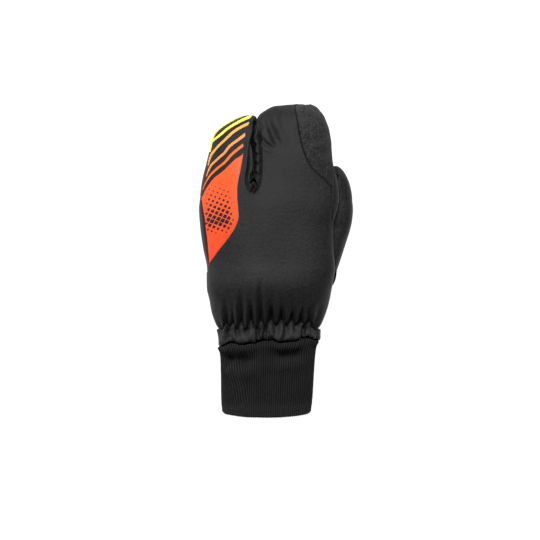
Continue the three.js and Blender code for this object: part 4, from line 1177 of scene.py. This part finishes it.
def knit_finish():
    """Black rib knit: rows of stitches along each rib, with painted shade between the ribs, and on the
    little finger's side slanting ribs that are drawn together, with painted shade between them and
    painted light on them. Painted light also brightens the folded free edge."""
    paint = Paint("rib_knit", Specular_IOR_Level=0.2, Sheen_Weight=0.05, Sheen_Roughness=0.5)
    u, v = paint.cloth()
    stitches = v.wave(1.1 * MM)
    across, along = paint.parts(paint.place())[:2]
    along = along - CINCH_Y
    slant = across - MIDDLE_X + along * WRINKLE_SLANT + along.wave(WRINKLE_SWAY_LENGTH) * WRINKLE_SWAY
    # Where the knit is drawn up into slanting wrinkles; this masks their painted shade below.
    drawn = (slant - WRINKLE_LINE).math("ABSOLUTE").rise(9 * MM, 5 * MM)
    drawn = drawn * along.rise(-26 * MM, -33 * MM) * along.rise(-78 * MM, -70 * MM)
    fuzz = paint.noise(0.7 * MM, 3, 0.6, (1, 0.5, 1))
    cloudy = paint.noise(9 * MM, 2)
    tone = stitches * 0.14 + (fuzz - 0.5) * 1.1 + (cloudy - 0.5) * 0.3 + 0.5
    # Painted shade: the colour is darker between the ribs and lighter on them.
    ridge = (u + RIB_PITCH / 4).wave(RIB_PITCH) * (1 - drawn) * 0.55
    # Painted shade in the slanting wrinkles' valleys with painted light on their crests, and painted light
    # on the folded free edge.
    tone = tone + ridge + slant.wave(WRINKLE_PITCH) * drawn * 0.9 + along.rise(-67 * MM, -74 * MM) * 0.5
    paint.feed("Base Color", paint.blend(tone, grey(0.003), grey(0.019)))
    paint.feed("Roughness", 0.8 + fuzz * 0.15)
    paint.bump(stitches * 0.5 + fuzz, 0.25 * MM, 0.7)
    return paint.material


cuff = skin("rib_knit_cuff", cuff_tube(), column_step=RIB_PITCH / RIB_COLUMNS)
stand_for(cuff, "knit_cuff", knit_finish())

# The surface that the mitt lies on: a plain white table.
TABLE_REACH = 3.0  # to each side
table_mesh = bpy.data.meshes.new("white_table")
table_corners = [(x * TABLE_REACH, y * TABLE_REACH, 0) for x, y in ((-1, -1), (1, -1), (1, 1), (-1, 1))]
table_mesh.from_pydata(table_corners, [], [(0, 1, 2, 3)])
table = bpy.data.objects.new("white_table", table_mesh)
bpy.context.scene.collection.objects.link(table)
table_paint = Paint(
    "white_table", Base_Color=grey(0.2), Roughness=0.9, Emission_Color=grey(1), Emission_Strength=1.0
)
table.data.materials.append(table_paint.material)

# The camera looks straight down on the back of the hand. Its frame is the photograph's.
VIEW_WIDTH = 486 * MM  # what the frame shows at the height of the mitt's rim
VIEW_CENTRE = (-4.8 * MM, -8.3 * MM)
CAMERA_HEIGHT = 2.4
RIM_LEVEL = 20 * MM
SENSOR = 36.0
camera_data = bpy.data.cameras.new("camera")
camera_data.sensor_width = SENSOR
camera_data.lens = SENSOR * (CAMERA_HEIGHT - RIM_LEVEL) / VIEW_WIDTH
camera = bpy.data.objects.new("camera", camera_data)
camera.location = (*VIEW_CENTRE, CAMERA_HEIGHT)
bpy.context.scene.collection.objects.link(camera)
bpy.context.scene.camera = camera

# Soft studio light: a room that is bright near the table, and two large lamps that shape the folds.
LIGHT_AROUND = 0.4
LIGHT_ABOVE = 0.08
scene = bpy.context.scene
scene.view_settings.view_transform = "Standard"
world = bpy.data.worlds.new("studio")
world.use_nodes = True
room = Nodes(world.node_tree, "Background")
upward = room.parts(room.node("ShaderNodeTexCoord", output="Generated"))[2]
room.feed("Strength", upward.rise(0.02, 0.4) * (LIGHT_ABOVE - LIGHT_AROUND) + LIGHT_AROUND)
scene.world = world


def lamp(name, place, size, power):
    """A soft square lamp at place that faces the mitt."""
    data = bpy.data.lights.new(name, "AREA")
    data.shape = "SQUARE"
    data.size = size
    data.energy = power
    lit = bpy.data.objects.new(name, data)
    lit.location = place
    x, y, z = place
    lit.rotation_euler = (np.arctan2(np.hypot(x, y), z), 0, np.arctan2(x, -y))
    scene.collection.objects.link(lit)


lamp("front_lamp", (-0.05, 0.94, 1.62), 0.8, 38)
lamp("left_lamp", (-1.2, 0.3, 0.6), 0.8, 6)
